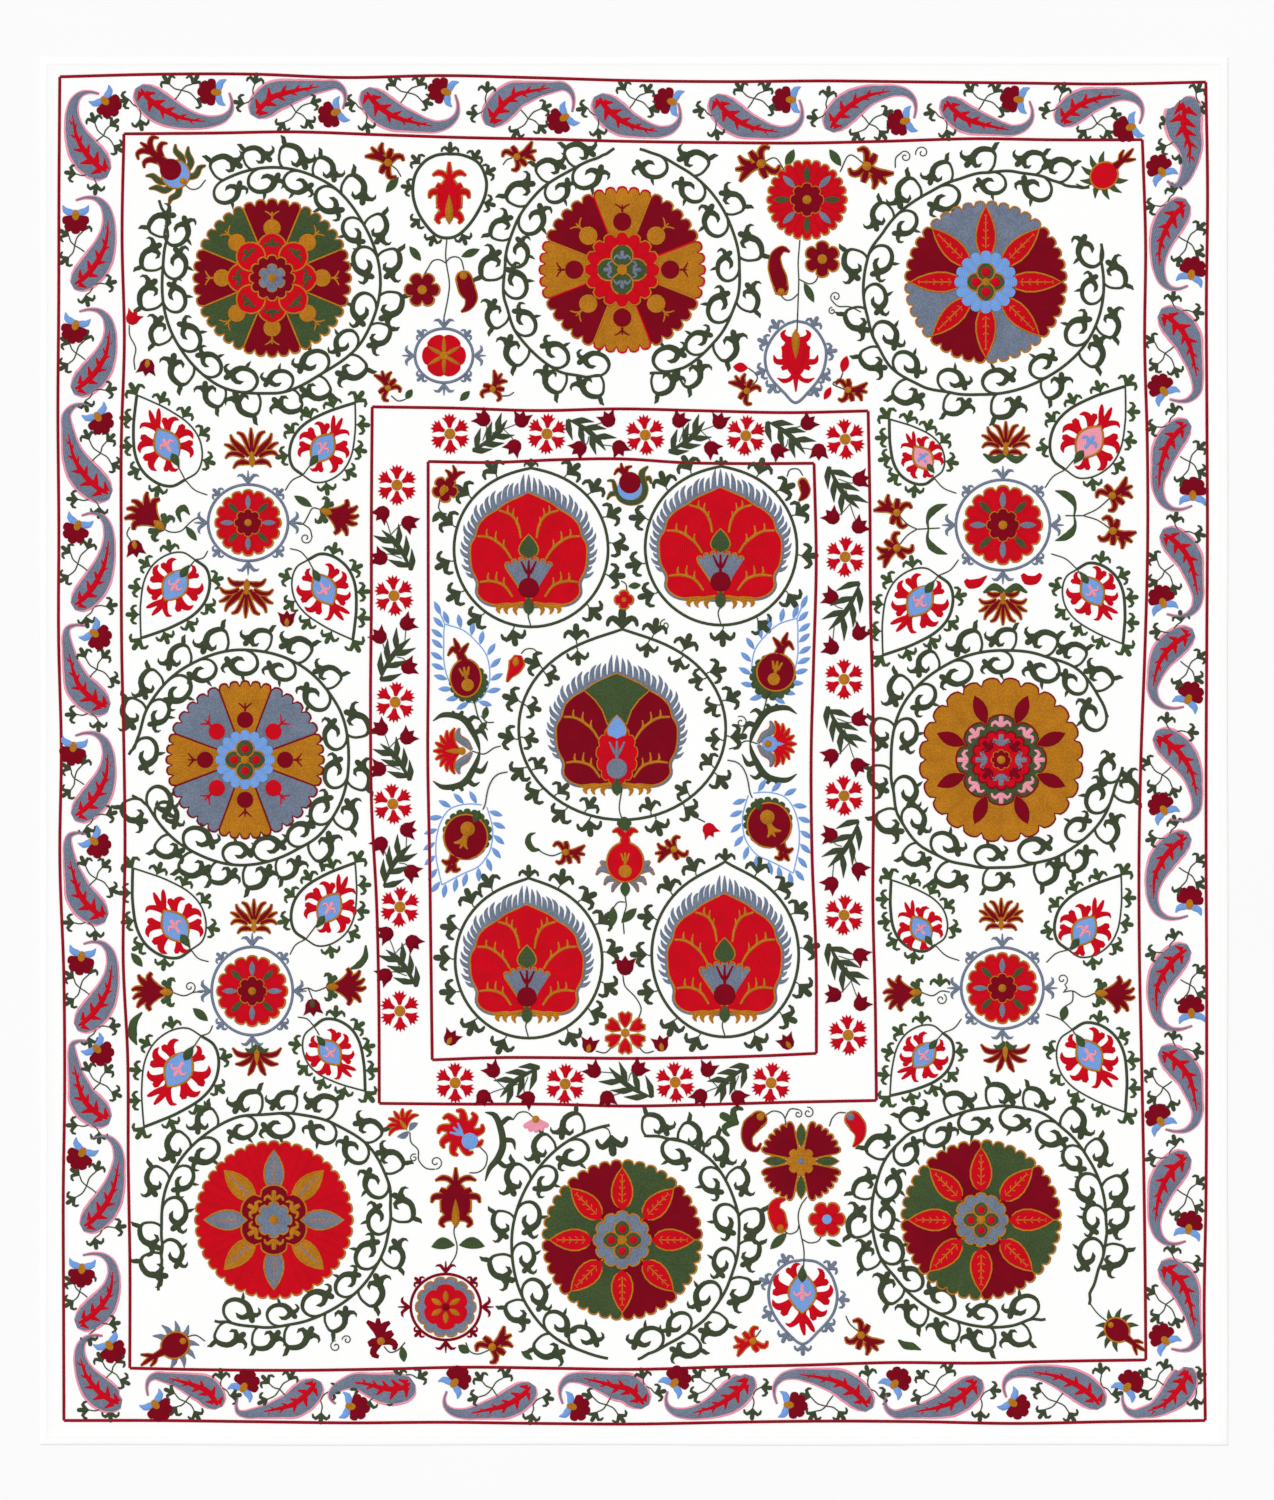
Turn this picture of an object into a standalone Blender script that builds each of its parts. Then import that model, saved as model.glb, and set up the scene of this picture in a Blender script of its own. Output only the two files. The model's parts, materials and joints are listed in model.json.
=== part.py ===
"""A suzani: a flat embroidered cloth about two metres wide, lying face up.

The ground is one hemmed cotton sheet. Its chain-stitched work stands about a millimetre proud of it.
Each large motif is a solid of its own, and the paisleys of the border are raised in the cloth's face.
Metres, +Z up. The origin is under the middle of the cloth, +Y points to the cloth's upper edge.
"""

import math

import bmesh
import bpy
from mathutils import Vector

# Driving dimensions of the sheet
CLOTH_WIDTH = 2.02
CLOTH_LENGTH = 2.36
CLOTH_THICKNESS = 0.0015
EDGE_WANDER = 0.0012
EDGE_STEP = 0.12
HEM_WIDTH = 0.014
HEM_RISE = 0.0005
HEM_INSET = 0.0005

# The stitched work
THREAD_RISE = 0.0010
THREAD_GAP = 0.0003
LINE_WIDTH = 0.0075
VINE_WIDTH = 0.0060
RING_WIDTH = 0.0055
PAISLEY_SINK = 0.0005

MM_PER_M = 1000

# How finely the round outlines are stepped
RING_STEPS = 24
DISC_STEPS = 32
OGIVE_STEPS = 30
PALMETTE_STEPS = 30

# Thread and cloth colours, as base colour, from the dyed work
COLOURS = {
    "cotton_ground": (0.86, 0.85, 0.82),
    "thread_red": (0.58, 0.012, 0.022),
    "thread_maroon": (0.20, 0.006, 0.014),
    "thread_green": (0.045, 0.085, 0.030),
    "thread_gold": (0.50, 0.19, 0.018),
    "thread_grey": (0.20, 0.23, 0.31),
}
THREAD_ROUGHNESS = 0.75
CLOTH_ROUGHNESS = 0.9

# The four stitched frame lines: corner places, then how far each side wanders outwards at evenly
# spaced places between its corners, in millimetres.
# Columns: name, north-west, north-east, south-east, south-west, north, east, south, west
FRAME_LINES = (
    (
        "line_outer",
        (-0.976, 1.146), (0.972, 1.137), (0.971, -1.138), (-0.969, -1.138),
        (5, 6, 1, 5, 2, -2, -3, -1, -2, -3, -4),
        (3, 1, 2, 3, 2, 1, 1, 2, 2, 1, -2),
        (0, 2, 4, 3, 5, 6, 3, 1, 2, 5, 2),
        (2, 3, 5, 4, 5, 1, 4, -2, -3, 0, 0),
    ),
    (
        "line_field",
        (-0.867, 1.049), (0.864, 1.039), (0.870, -1.035), (-0.857, -1.049),
        (2, 5, 1, -3, -5, -8, -9, -9, -5, 0, -1),
        (5, 3, 7, 7, 2, -5, -9, -9, -6, -3, -1),
        (4, 6, 5, 3, 6, 9, 6, 4, 1, 3, 1),
        (4, 1, 7, 8, 8, 5, 4, 8, 1, 1, -1),
    ),
    (
        "line_panel",
        (-0.445, 0.585), (0.398, 0.578), (0.412, -0.594), (-0.433, -0.599),
        (-1, -4, 0, -2, -4),
        (1, 0, 2, 1, -2, 0),
        (2, 3, 7, 5, 2),
        (3, 5, 8, 8, 1, -1),
    ),
    (
        "line_centre",
        (-0.350, 0.492), (0.306, 0.489), (0.310, -0.514), (-0.343, -0.525),
        (-1, 4, 6, 0, -1),
        (3, -2, -7, -6, 0),
        (-2, 0, 3, 4, 3),
        (1, 2, 4, 2, 1),
    ),
)

# The eight large scalloped rosettes. Columns: name, x, y, radius, scallops, thread
ROSETTES = (
    ("nw", -0.616, 0.804, 0.134, 40, "thread_maroon"),
    ("n", -0.020, 0.815, 0.141, 40, "thread_gold"),
    ("ne", 0.598, 0.797, 0.138, 40, "thread_maroon"),
    ("w", -0.660, -0.013, 0.134, 40, "thread_grey"),
    ("e", 0.625, -0.016, 0.141, 24, "thread_gold"),
    ("sw", -0.612, -0.798, 0.134, 40, "thread_red"),
    ("s", -0.014, -0.829, 0.137, 40, "thread_green"),
    ("se", 0.597, -0.796, 0.136, 40, "thread_maroon"),
)
SCALLOP_DEPTH = 0.035

# The vine round each rosette, an oval that wanders. Its middle x and y, half width and half height in
# metres, then along it: angle in degrees, anticlockwise from +X, and how far out it wanders in millimetres
VINES = {
    "nw": (
        (-0.614, 0.797, 0.185, 0.192),
        ((145, 51), (150, 22), (158, 8), (175, 3), (210, 6), (240, 8), (270, -3), (300, -14),
         (330, -5), (360, -2), (390, -4), (420, 2), (450, 3), (478, 2)),
    ),
    "n_left": (
        (-0.019, 0.83, 0.2, 0.19),
        ((94, 5), (98, -3), (104, -8), (120, -12), (140, -8), (160, -5), (180, 0), (200, 12),
         (215, 20), (240, 22), (252, 14), (259, 5)),
    ),
    "n_right": (
        (-0.019, 0.83, 0.2, 0.19),
        ((283, 3), (292, 10), (300, 14), (320, 10), (340, 5), (360, -2), (380, -5), (420, -3),
         (435, 2), (442, 5)),
    ),
    "ne": (
        (0.595, 0.795, 0.205, 0.191),
        ((44, 44), (47, 31), (52, 20), (60, 14), (75, 5), (90, -3), (105, -10), (120, -14), (150, -10),
         (165, -2), (195, 2), (210, 8), (225, 15), (240, 10), (255, 2), (270, -2), (300, -3), (330, 0),
         (372, -2), (380, 7)),
    ),
    "w": (
        (-0.668, -0.013, 0.186, 0.182),
        ((199, 10), (203, -2), (208, -8), (240, -5), (270, -1), (300, -2), (315, 2), (330, 0),
         (360, -3), (390, 2), (420, 5), (450, 3), (480, -1), (510, -4), (525, -8), (533, -5), (538, 5)),
    ),
    "e": (
        (0.627, -0.013, 0.187, 0.182),
        ((22, 5), (30, 8), (50, 14), (70, 5), (90, 2), (120, 3), (150, 7), (180, 3), (195, 7),
         (210, 17), (225, 20), (240, 14), (255, 7), (270, 3), (285, 3), (300, 8), (330, 12), (345, 10),
         (356, 17)),
    ),
    "sw": (
        (-0.609, -0.799, 0.194, 0.182),
        ((240, 14), (247, 5), (262, 0), (280, -5), (300, -7), (330, -5), (350, -2), (365, 2),
         (380, 10), (400, 14), (420, 8), (440, 3), (455, 0), (470, 5), (490, 3), (520, 2), (540, 0),
         (552, 3), (560, 12), (566, 24), (572, 41)),
    ),
    "s_left": (
        (-0.014, -0.836, 0.192, 0.199),
        ((98, 3), (112, 2), (150, 0), (180, 2), (210, 5), (230, 5), (250, 0), (261, 0)),
    ),
    "s_right": (
        (-0.014, -0.836, 0.192, 0.199),
        ((276, 0), (283, -7), (295, -12), (305, -12), (320, -8), (340, -5), (360, 0), (375, 5),
         (400, 7), (415, 3), (430, -8), (440, -14)),
    ),
    "se": (
        (0.607, -0.792, 0.197, 0.188),
        ((317, 31), (322, 17), (335, 7), (350, 2), (360, -2), (390, -2), (410, 2), (425, 7), (440, 3),
         (455, -3), (470, -5), (485, -2), (495, 7), (510, 10), (525, 7), (560, 5), (575, -2),
         (600, -3), (640, 0), (650, -3), (657, 7)),
    ),
}
VINE_STEP_DEG = 13

# Small round flowers. Columns: name, x, y, half width, half height, lobes, thread
MEDALLIONS = (
    ("w_upper", -0.657, 0.388, 0.056, 0.054, 16, "thread_red"),
    ("w_lower", -0.650, -0.408, 0.060, 0.062, 16, "thread_red"),
    ("e_upper", 0.628, 0.384, 0.067, 0.066, 16, "thread_red"),
    ("e_lower", 0.625, -0.403, 0.060, 0.059, 16, "thread_red"),
    ("n_left", -0.321, 0.672, 0.037, 0.036, 6, "thread_red"),
    ("s_left", -0.321, -0.944, 0.048, 0.044, 14, "thread_grey"),
    ("n_right", 0.300, 0.933, 0.070, 0.065, 24, "thread_red"),
    ("s_right", 0.294, -0.697, 0.070, 0.062, 20, "thread_maroon"),
)
LOBE_DEPTH = 0.06

# Stitched rings round the small flowers: a tip above 0 draws the ring to a point at its top, and
# below 0 at its foot. Columns: name, x, y, half width, half height, tip, thread
RINGS = (
    ("w_upper", -0.657, 0.388, 0.068, 0.065, 0.0, "thread_grey"),
    ("w_lower", -0.650, -0.408, 0.069, 0.075, 0.0, "thread_grey"),
    ("e_upper", 0.627, 0.384, 0.080, 0.077, 0.0, "thread_grey"),
    ("e_lower", 0.625, -0.403, 0.070, 0.069, 0.0, "thread_grey"),
    ("n_left", -0.322, 0.672, 0.051, 0.046, 0.0, "thread_grey"),
    ("s_left", -0.321, -0.944, 0.061, 0.056, 0.0, "thread_maroon"),
    ("drop_n_left", -0.312, 0.942, 0.062, 0.066, -0.008, "thread_green"),
    ("drop_n_right", 0.276, 0.672, 0.052, 0.058, -0.016, "thread_grey"),
    ("drop_s_right", 0.291, -0.928, 0.059, 0.060, -0.018, "thread_grey"),
)

# The five great palmettes and the ogival rings that hold them.
# Columns: name, palmette x, y, half width, half height, ring x, y, half width, half height, ring tip, thread
PALMETTES = (
    ("nw", -0.179, 0.343, 0.099, 0.097, -0.175, 0.343, 0.131, 0.132, 0.006, "thread_red"),
    ("ne", 0.147, 0.353, 0.104, 0.096, 0.148, 0.346, 0.129, 0.132, 0.006, "thread_red"),
    ("centre", -0.029, 0.036, 0.103, 0.097, -0.020, 0.038, 0.176, 0.155, 0.014, "thread_maroon"),
    ("sw", -0.182, -0.354, 0.096, 0.094, -0.179, -0.357, 0.125, 0.131, 0.010, "thread_red"),
    ("se", 0.154, -0.344, 0.097, 0.103, 0.155, -0.346, 0.125, 0.140, 0.018, "thread_red"),
)
PALMETTE_LOBES = 7
PALMETTE_LOBE_DEPTH = 0.04
TIP_SPREAD = 0.22

# The border of paisleys, clockwise from the north-west, in millimetres. Each runs from the rim of its
# round head to the tip of its thin tail; it bulges to the cloth's edge, or to the field if below 0.
# Columns: head x, head y, tail x, tail y, bulge, girth
PAISLEYS = (
    (-841, 1130, -688, 1119, -52, 24),
    (-645, 1078, -495, 1091, 50, 24),
    (-457, 1125, -304, 1116, -57, 24),
    (-246, 1062, -105, 1086, 55, 24),
    (-61, 1115, 75, 1101, -52, 24),
    (136, 1114, 281, 1107, -57, 24),
    (332, 1054, 476, 1075, 53, 23),
    (528, 1110, 672, 1105, -52, 22),
    (723, 1064, 859, 1066, 50, 23),
    (930, 1107, 906, 969, 32, 30),
    (942, 932, 942, 791, -50, 24),
    (893, 745, 910, 598, 55, 25),
    (944, 558, 949, 417, -57, 22),
    (896, 371, 905, 233, 57, 23),
    (952, 201, 935, 75, -58, 22),
    (884, 27, 910, -116, 55, 24),
    (945, -144, 942, -280, -61, 22),
    (944, -335, 949, -467, -61, 23),
    (893, -509, 903, -643, 58, 23),
    (944, -688, 938, -833, -54, 24),
    (893, -874, 913, -1016, 53, 24),
    (942, -1046, 830, -1093, 45, 24),
    (794, -1116, 633, -1099, -48, 23),
    (585, -1065, 430, -1091, 44, 23),
    (400, -1120, 243, -1110, -55, 22),
    (196, -1061, 57, -1088, 44, 24),
    (19, -1115, -121, -1110, -50, 23),
    (-173, -1076, -318, -1088, 42, 22),
    (-376, -1071, -507, -1110, -29, 25),
    (-539, -1069, -674, -1099, 40, 23),
    (-706, -1117, -826, -1096, -44, 22),
    (-871, -1110, -903, -994, 47, 24),
    (-949, -974, -937, -857, -55, 23),
    (-939, -810, -924, -659, -52, 23),
    (-890, -627, -925, -494, 47, 24),
    (-949, -469, -936, -328, -52, 23),
    (-896, -284, -930, -141, 47, 24),
    (-954, -112, -950, 26, -57, 23),
    (-892, 73, -933, 213, 48, 24),
    (-954, 246, -939, 400, -50, 22),
    (-889, 435, -923, 587, 52, 25),
    (-955, 613, -943, 747, -55, 23),
    (-955, 791, -949, 936, -57, 23),
    (-892, 983, -909, 1117, 50, 26),
)
PAISLEY_HANDLES = ((0.0, 0.0), (0.28, 1.3), (1.25, 1.4), (1.0, 0.0))

# How a paisley swells and thins. Columns: part of the way from head to tail, share of its girth
PAISLEY_SWELL = (
    (0.00, 0.28),
    (0.05, 0.72),
    (0.19, 1.00),
    (0.34, 0.80),
    (0.48, 0.47),
    (0.64, 0.30),
    (0.82, 0.18),
    (1.00, 0.07),
)
PAISLEY_CLEAR = 0.0015

OUTWARDS = (Vector((0, 1)), Vector((1, 0)), Vector((0, -1)), Vector((-1, 0)))


def material(name):
    """The plain finish of one thread or of the cloth, made once."""
    found = bpy.data.materials.get(name)
    if found:
        return found
    made = bpy.data.materials.new(name)
    made.use_nodes = True
    shader = made.node_tree.nodes["Principled BSDF"]
    shader.inputs["Base Color"].default_value = (*COLOURS[name], 1)
    shader.inputs["Roughness"].default_value = THREAD_ROUGHNESS if "thread" in name else CLOTH_ROUGHNESS
    shader.inputs["Metallic"].default_value = 0.0
    made.diffuse_color = (*COLOURS[name], 1)
    return made


def flat_piece(name, loops, bottom, height, thread, collection):
    """A flat solid whose outline is the first loop, and whose holes are the others."""
    curve = bpy.data.curves.new(name, "CURVE")
    curve.dimensions = "2D"
    curve.fill_mode = "BOTH"
    curve.extrude = height / 2
    for loop in loops:
        spline = curve.splines.new("POLY")
        spline.points.add(len(loop) - 1)
        for point, (x, y) in zip(spline.points, loop):
            point.co = (x, y, 0, 1)
        spline.use_cyclic_u = True
    curve.materials.append(material(thread))
    piece = bpy.data.objects.new(name, curve)
    piece.location.z = bottom + height / 2
    collection.objects.link(piece)
    return piece


def as_mesh(piece, name, collection):
    """The same solid as a welded mesh, which a Boolean can take."""
    bpy.context.view_layer.update()
    evaluated = piece.evaluated_get(bpy.context.evaluated_depsgraph_get())
    mesh = bpy.data.meshes.new_from_object(evaluated)
    welding = bmesh.new()
    welding.from_mesh(mesh)
    bmesh.ops.remove_doubles(welding, verts=welding.verts, dist=1e-6)
    bmesh.ops.recalc_face_normals(welding, faces=welding.faces)
    welding.to_mesh(mesh)
    welding.free()
    made = bpy.data.objects.new(name, mesh)
    made.matrix_world = piece.matrix_world
    bpy.data.objects.remove(piece)
    made.name = name
    collection.objects.link(made)
    return made


def ribbon_loop(spine, width):
    """The outline of an open line of stitches of that width along its spine."""
    left, right = [], []
    for i, point in enumerate(spine):
        before = spine[max(i - 1, 0)]
        after = spine[min(i + 1, len(spine) - 1)]
        along = (after - before).normalized()
        across = Vector((-along.y, along.x)) * width / 2
        left.append(point + across)
        right.append(point - across)
    return [tuple(p) for p in left + right[::-1]]


def ring_loops(centre_line, width):
    """The outer and inner outline of a closed line of stitches, its centre line given anticlockwise."""
    count = len(centre_line)
    outer, inner = [], []
    for i, point in enumerate(centre_line):
        along = (centre_line[(i + 1) % count] - centre_line[i - 1]).normalized()
        outwards = Vector((along.y, -along.x)) * width / 2
        outer.append(tuple(point + outwards))
        inner.append(tuple(point - outwards))
    return [outer, inner]


def framed_sides(corners, wanders):
    """The sides of a hand-drawn rectangle, clockwise from the north-west, each from its first corner."""
    sides = []
    for side, wander in enumerate(wanders):
        start = Vector(corners[side])
        end = Vector(corners[(side + 1) % len(corners)])
        if side > 1:
            wander = wander[::-1]
        points = [start]
        for i, offset in enumerate(wander, 1):
            points.append(start.lerp(end, i / (len(wander) + 1)) + OUTWARDS[side] * offset / MM_PER_M)
        sides.append(points)
    return sides


def mitred(path, width):
    """The outline of a closed frame line, widened along its corners' mitres."""
    loops = ring_loops(path[::-1], width)
    corner_reach = math.sqrt(2)
    count = len(path)
    for loop in loops:
        for i in range(count):
            before, here, after = (path[::-1][(i + k) % count] for k in (-1, 0, 1))
            turn = (here - before).normalized().dot((after - here).normalized())
            if turn < math.cos(math.radians(45)):
                loop[i] = tuple(here + (Vector(loop[i]) - here) * corner_reach)
    return loops


def scalloped(x, y, half_width, half_height, lobes, depth, points):
    """A round outline whose edge swells into lobes."""
    loop = []
    for i in range(points):
        angle = 2 * math.pi * i / points
        swell = 1 - depth + depth * abs(math.cos(lobes * angle / 2))
        loop.append((x + half_width * swell * math.cos(angle), y + half_height * swell * math.sin(angle)))
    return loop


def oval(x, y, half_width, half_height, tip, steps):
    """An oval drawn to a point of the height given: at its top if that is above 0, at its foot if below."""
    path = []
    for i in range(steps):
        angle = 2 * math.pi * i / steps
        pole = math.pi / 2 if tip >= 0 else -math.pi / 2
        apart = abs(math.remainder(angle - pole, 2 * math.pi))
        point = tip * math.exp(-apart / TIP_SPREAD)
        path.append(Vector((x + half_width * math.cos(angle), y + half_height * math.sin(angle) + point)))
    return path


def vine_spine(shape, wanders):
    """The middle line of a vine: an open oval that swings in and out between the places given."""
    x, y, half_width, half_height = shape
    spine = []
    for (near, near_offset), (far, far_offset) in zip(wanders, wanders[1:]):
        steps = max(1, round((far - near) / VINE_STEP_DEG))
        last = (far, far_offset) == wanders[-1]
        for i in range(steps + last):
            part = i / steps
            swing = part * part * (3 - 2 * part)
            offset = (near_offset + (far_offset - near_offset) * swing) / MM_PER_M
            angle = math.radians(near + (far - near) * part)
            reach = Vector(((half_width + offset) * math.cos(angle), (half_height + offset) * math.sin(angle)))
            spine.append(Vector((x, y)) + reach)
    return spine


def bezier(handles, part):
    """The point that far along a curve with two end points and two handles."""
    rest = 1 - part
    shares = (rest ** 3, 3 * rest ** 2 * part, 3 * rest * part ** 2, part ** 3)
    return sum((point * share for point, share in zip(handles, shares)), Vector((0, 0)))


def reach_at(frame, side, place):
    """How far out a frame line runs on one side of the cloth, level with the place given."""
    axis = 0 if OUTWARDS[side].x == 0 else 1
    points = frame[side] + [frame[(side + 1) % 4][0]]
    points.sort(key=lambda point: point[axis])
    pairs = list(zip(points, points[1:]))
    for near, far in pairs:
        if place[axis] <= far[axis] or far is points[-1]:
            part = (place[axis] - near[axis]) / (far[axis] - near[axis])
            return near.lerp(far, part).dot(OUTWARDS[side])


def strip_of(place, field):
    """The side of the border that a place lies in, which is the side where it is furthest past the field."""
    return max(range(4), key=lambda side: (place - field[side][0]).dot(OUTWARDS[side]))


def kept_clear(place, radius, own_side, outer, field):
    """The place, moved so that a disc of that radius about it stays in the border, off both frame lines."""
    room = LINE_WIDTH / 2 + PAISLEY_CLEAR + radius
    for side, outwards in enumerate(OUTWARDS):
        beyond = place.dot(outwards) - (reach_at(outer, side, place) - room)
        place = place - outwards * max(beyond, 0)
    short = reach_at(field, own_side, place) + room - place.dot(OUTWARDS[own_side])
    return place + OUTWARDS[own_side] * max(short, 0)


def paisley_loop(head, tail, bulge, girth, outer, field):
    """The outline of a paisley, which swells behind its round head and thins to its curling tail."""
    chord = tail - head
    own_side = strip_of((head + tail) / 2, field)
    sideways = Vector((-chord.y, chord.x)).normalized() * bulge
    handles = [head + chord * run + sideways * rise for run, rise in PAISLEY_HANDLES]
    spine = []
    for part, share in PAISLEY_SWELL:
        spine.append(kept_clear(bezier(handles, part), girth * share, own_side, outer, field))
    one_side, other_side = [], []
    for i, (_, share) in enumerate(PAISLEY_SWELL):
        along = (spine[min(i + 1, len(spine) - 1)] - spine[max(i - 1, 0)]).normalized()
        across = Vector((-along.y, along.x)) * girth * share
        one_side.append(tuple(spine[i] + across))
        other_side.append(tuple(spine[i] - across))
    return one_side + other_side[::-1]


def border_paisleys():
    """The outlines of every paisley in the border."""
    outer, field = (framed_sides(line[1:5], line[5:]) for line in FRAME_LINES[:2])
    loops = []
    for row in PAISLEYS:
        head_x, head_y, tail_x, tail_y, bulge, girth = (value / MM_PER_M for value in row)
        head, tail = Vector((head_x, head_y)), Vector((tail_x, tail_y))
        loops.append(paisley_loop(head, tail, bulge, girth, outer, field))
    return loops


def cloth_outline(inset):
    """The sheet's edge, which wanders a little as hemmed cloth does, or a line that far inside it."""
    half_width = CLOTH_WIDTH / 2 - inset
    half_length = CLOTH_LENGTH / 2 - inset
    corners = ((-1, -1), (1, -1), (1, 1), (-1, 1))
    loop = []
    for side, (x, y) in enumerate(corners):
        start = Vector((x * half_width, y * half_length))
        next_x, next_y = corners[(side + 1) % 4]
        end = Vector((next_x * half_width, next_y * half_length))
        along = (end - start).normalized()
        inwards = Vector((-along.y, along.x))
        steps = round((end - start).length / EDGE_STEP)
        for i in range(steps):
            wander = EDGE_WANDER * (1 - math.cos(2 * math.pi * i / steps)) / 2
            wander *= 1 + math.sin(i * 1.9 + side)
            loop.append(tuple(start.lerp(end, i / steps) + inwards * wander))
    return loop


def ground_cloth(parts, cutters):
    """The cotton sheet, with its turned hem and the border's paisleys raised in its face."""
    plain = flat_piece("ground_plain", [cloth_outline(0)], 0, CLOTH_THICKNESS, "cotton_ground", parts)
    sheet = as_mesh(plain, "ground_cloth", parts)
    hem_height = CLOTH_THICKNESS + HEM_RISE - PAISLEY_SINK
    hem_loops = [cloth_outline(HEM_INSET), cloth_outline(HEM_WIDTH)]
    paisley_height = THREAD_GAP + THREAD_RISE + CLOTH_THICKNESS - PAISLEY_SINK
    raised = (
        ("hem_fold", hem_loops, hem_height),
        ("paisley_relief", border_paisleys(), paisley_height),
    )
    for name, loops, height in raised:
        flat = flat_piece(name + "_flat", loops, PAISLEY_SINK, height, "cotton_ground", cutters)
        added = as_mesh(flat, name, cutters)
        added.hide_render = True
        added.display_type = "WIRE"
        union = sheet.modifiers.new(name, "BOOLEAN")
        union.operation = "UNION"
        union.object = added


def collection_named(name):
    made = bpy.data.collections.new(name)
    bpy.context.scene.collection.children.link(made)
    return made


def main():
    for obj in list(bpy.data.objects):
        bpy.data.objects.remove(obj, do_unlink=True)
    parts = collection_named("suzani")
    cutters = collection_named("raised_forms")
    cutters.hide_render = True
    ground_cloth(parts, cutters)

    def stitched(name, loops, thread):
        return flat_piece(name, loops, CLOTH_THICKNESS + THREAD_GAP, THREAD_RISE, thread, parts)

    for name, *frame in FRAME_LINES:
        path = sum(framed_sides(frame[:4], frame[4:]), [])
        stitched(name, mitred(path, LINE_WIDTH), "thread_red")
    for name, x, y, radius, scallops, thread in ROSETTES:
        loop = scalloped(x, y, radius, radius, scallops, SCALLOP_DEPTH, 2 * scallops)
        stitched("rosette_" + name, [loop], thread)
    for name, (shape, wanders) in VINES.items():
        stitched("vine_" + name, [ribbon_loop(vine_spine(shape, wanders), VINE_WIDTH)], "thread_green")
    for name, x, y, half_width, half_height, lobes, thread in MEDALLIONS:
        loop = scalloped(x, y, half_width, half_height, lobes, LOBE_DEPTH, max(DISC_STEPS, 2 * lobes))
        stitched("medallion_" + name, [loop], thread)
    for name, *shape, thread in RINGS:
        stitched("ring_" + name, ring_loops(oval(*shape, RING_STEPS), RING_WIDTH), thread)
    for name, x, y, half_width, half_height, *ring, thread in PALMETTES:
        loop = scalloped(x, y, half_width, half_height, PALMETTE_LOBES, PALMETTE_LOBE_DEPTH, PALMETTE_STEPS)
        stitched("palmette_" + name, [loop], thread)
        stitched("ogive_" + name, ring_loops(oval(*ring, OGIVE_STEPS), VINE_WIDTH), "thread_green")


main()
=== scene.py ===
"""A suzani: an embroidered cotton cloth about two metres wide, laid flat and seen from straight above.

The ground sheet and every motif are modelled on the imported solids. The motifs are drawn as chain-stitched
fills and lines that stand a little proud of the cloth, each sewn in the threads named below.
The tables are in millimetres on the cloth, from its middle, with y towards its upper edge, and the
angles are in degrees, anticlockwise from +X. The meshes are in metres.
"""
import json
import math

import bpy
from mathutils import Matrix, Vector, noise

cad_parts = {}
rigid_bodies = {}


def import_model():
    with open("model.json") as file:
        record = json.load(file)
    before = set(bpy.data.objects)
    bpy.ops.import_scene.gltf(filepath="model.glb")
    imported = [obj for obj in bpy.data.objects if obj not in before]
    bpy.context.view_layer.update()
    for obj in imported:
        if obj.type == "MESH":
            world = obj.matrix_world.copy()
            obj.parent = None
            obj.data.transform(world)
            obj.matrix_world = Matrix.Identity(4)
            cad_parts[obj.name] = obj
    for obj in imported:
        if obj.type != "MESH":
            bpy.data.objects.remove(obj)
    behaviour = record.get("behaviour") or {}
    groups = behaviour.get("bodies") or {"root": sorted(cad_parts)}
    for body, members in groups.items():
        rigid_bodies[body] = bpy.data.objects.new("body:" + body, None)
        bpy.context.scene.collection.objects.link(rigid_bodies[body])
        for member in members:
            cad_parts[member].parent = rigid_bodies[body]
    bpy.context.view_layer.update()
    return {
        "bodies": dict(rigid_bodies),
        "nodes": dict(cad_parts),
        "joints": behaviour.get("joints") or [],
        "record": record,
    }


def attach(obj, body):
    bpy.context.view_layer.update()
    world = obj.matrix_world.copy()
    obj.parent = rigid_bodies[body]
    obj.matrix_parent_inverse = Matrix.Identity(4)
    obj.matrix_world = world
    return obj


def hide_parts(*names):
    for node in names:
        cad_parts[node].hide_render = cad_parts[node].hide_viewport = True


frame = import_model()

MM = 0.001

# The sheet, in metres
CLOTH_WIDTH = 2.02
CLOTH_LENGTH = 2.36
CLOTH_THICKNESS = 0.0015
HEM_WIDTH = 0.014
HEM_RISE = 0.0005
HEM_STEP = 0.002
EDGE_WANDER = 0.0012
EDGE_WAVES_ALONG_X = 8.0
EDGE_WAVES_ALONG_Y = 9.0
GRID_STEP = 0.015
CREASE_HEIGHT = 0.0011
CREASE_SIZE = 0.34
CREASE_SETTLES = 0.10

# The stitching, in millimetres: how high a fill or a line stands, what each layer on top of it adds, how
# much lower its shoulder is, how far in from a fill's edge its shoulder and its crown lie, how far apart
# its inner rings are, how wide a row and how long a loop of stitches is, and how closely a line is stepped
THREAD_HEIGHT = 0.9
LAYER_RISE = 0.11
SHOULDER = 0.10
EDGE_INSET = 0.3
CROWN_INSET = 1.8
RING_STEP = 22.0
ROW = 3.2
LINK = 4.2
STEP = 4.0

# How high the end of a line stands, as a part of its full height, and how many steps a scallop takes
LINE_END = 0.3
SCALLOP_STEPS = 5

# Half widths of the fine lines, in millimetres
FRAME_HALF = 2.6
VINE_HALF = 2.5
RING_HALF = 2.4
STEM_HALF = 1.1
EDGE_HALF = 1.6

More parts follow.
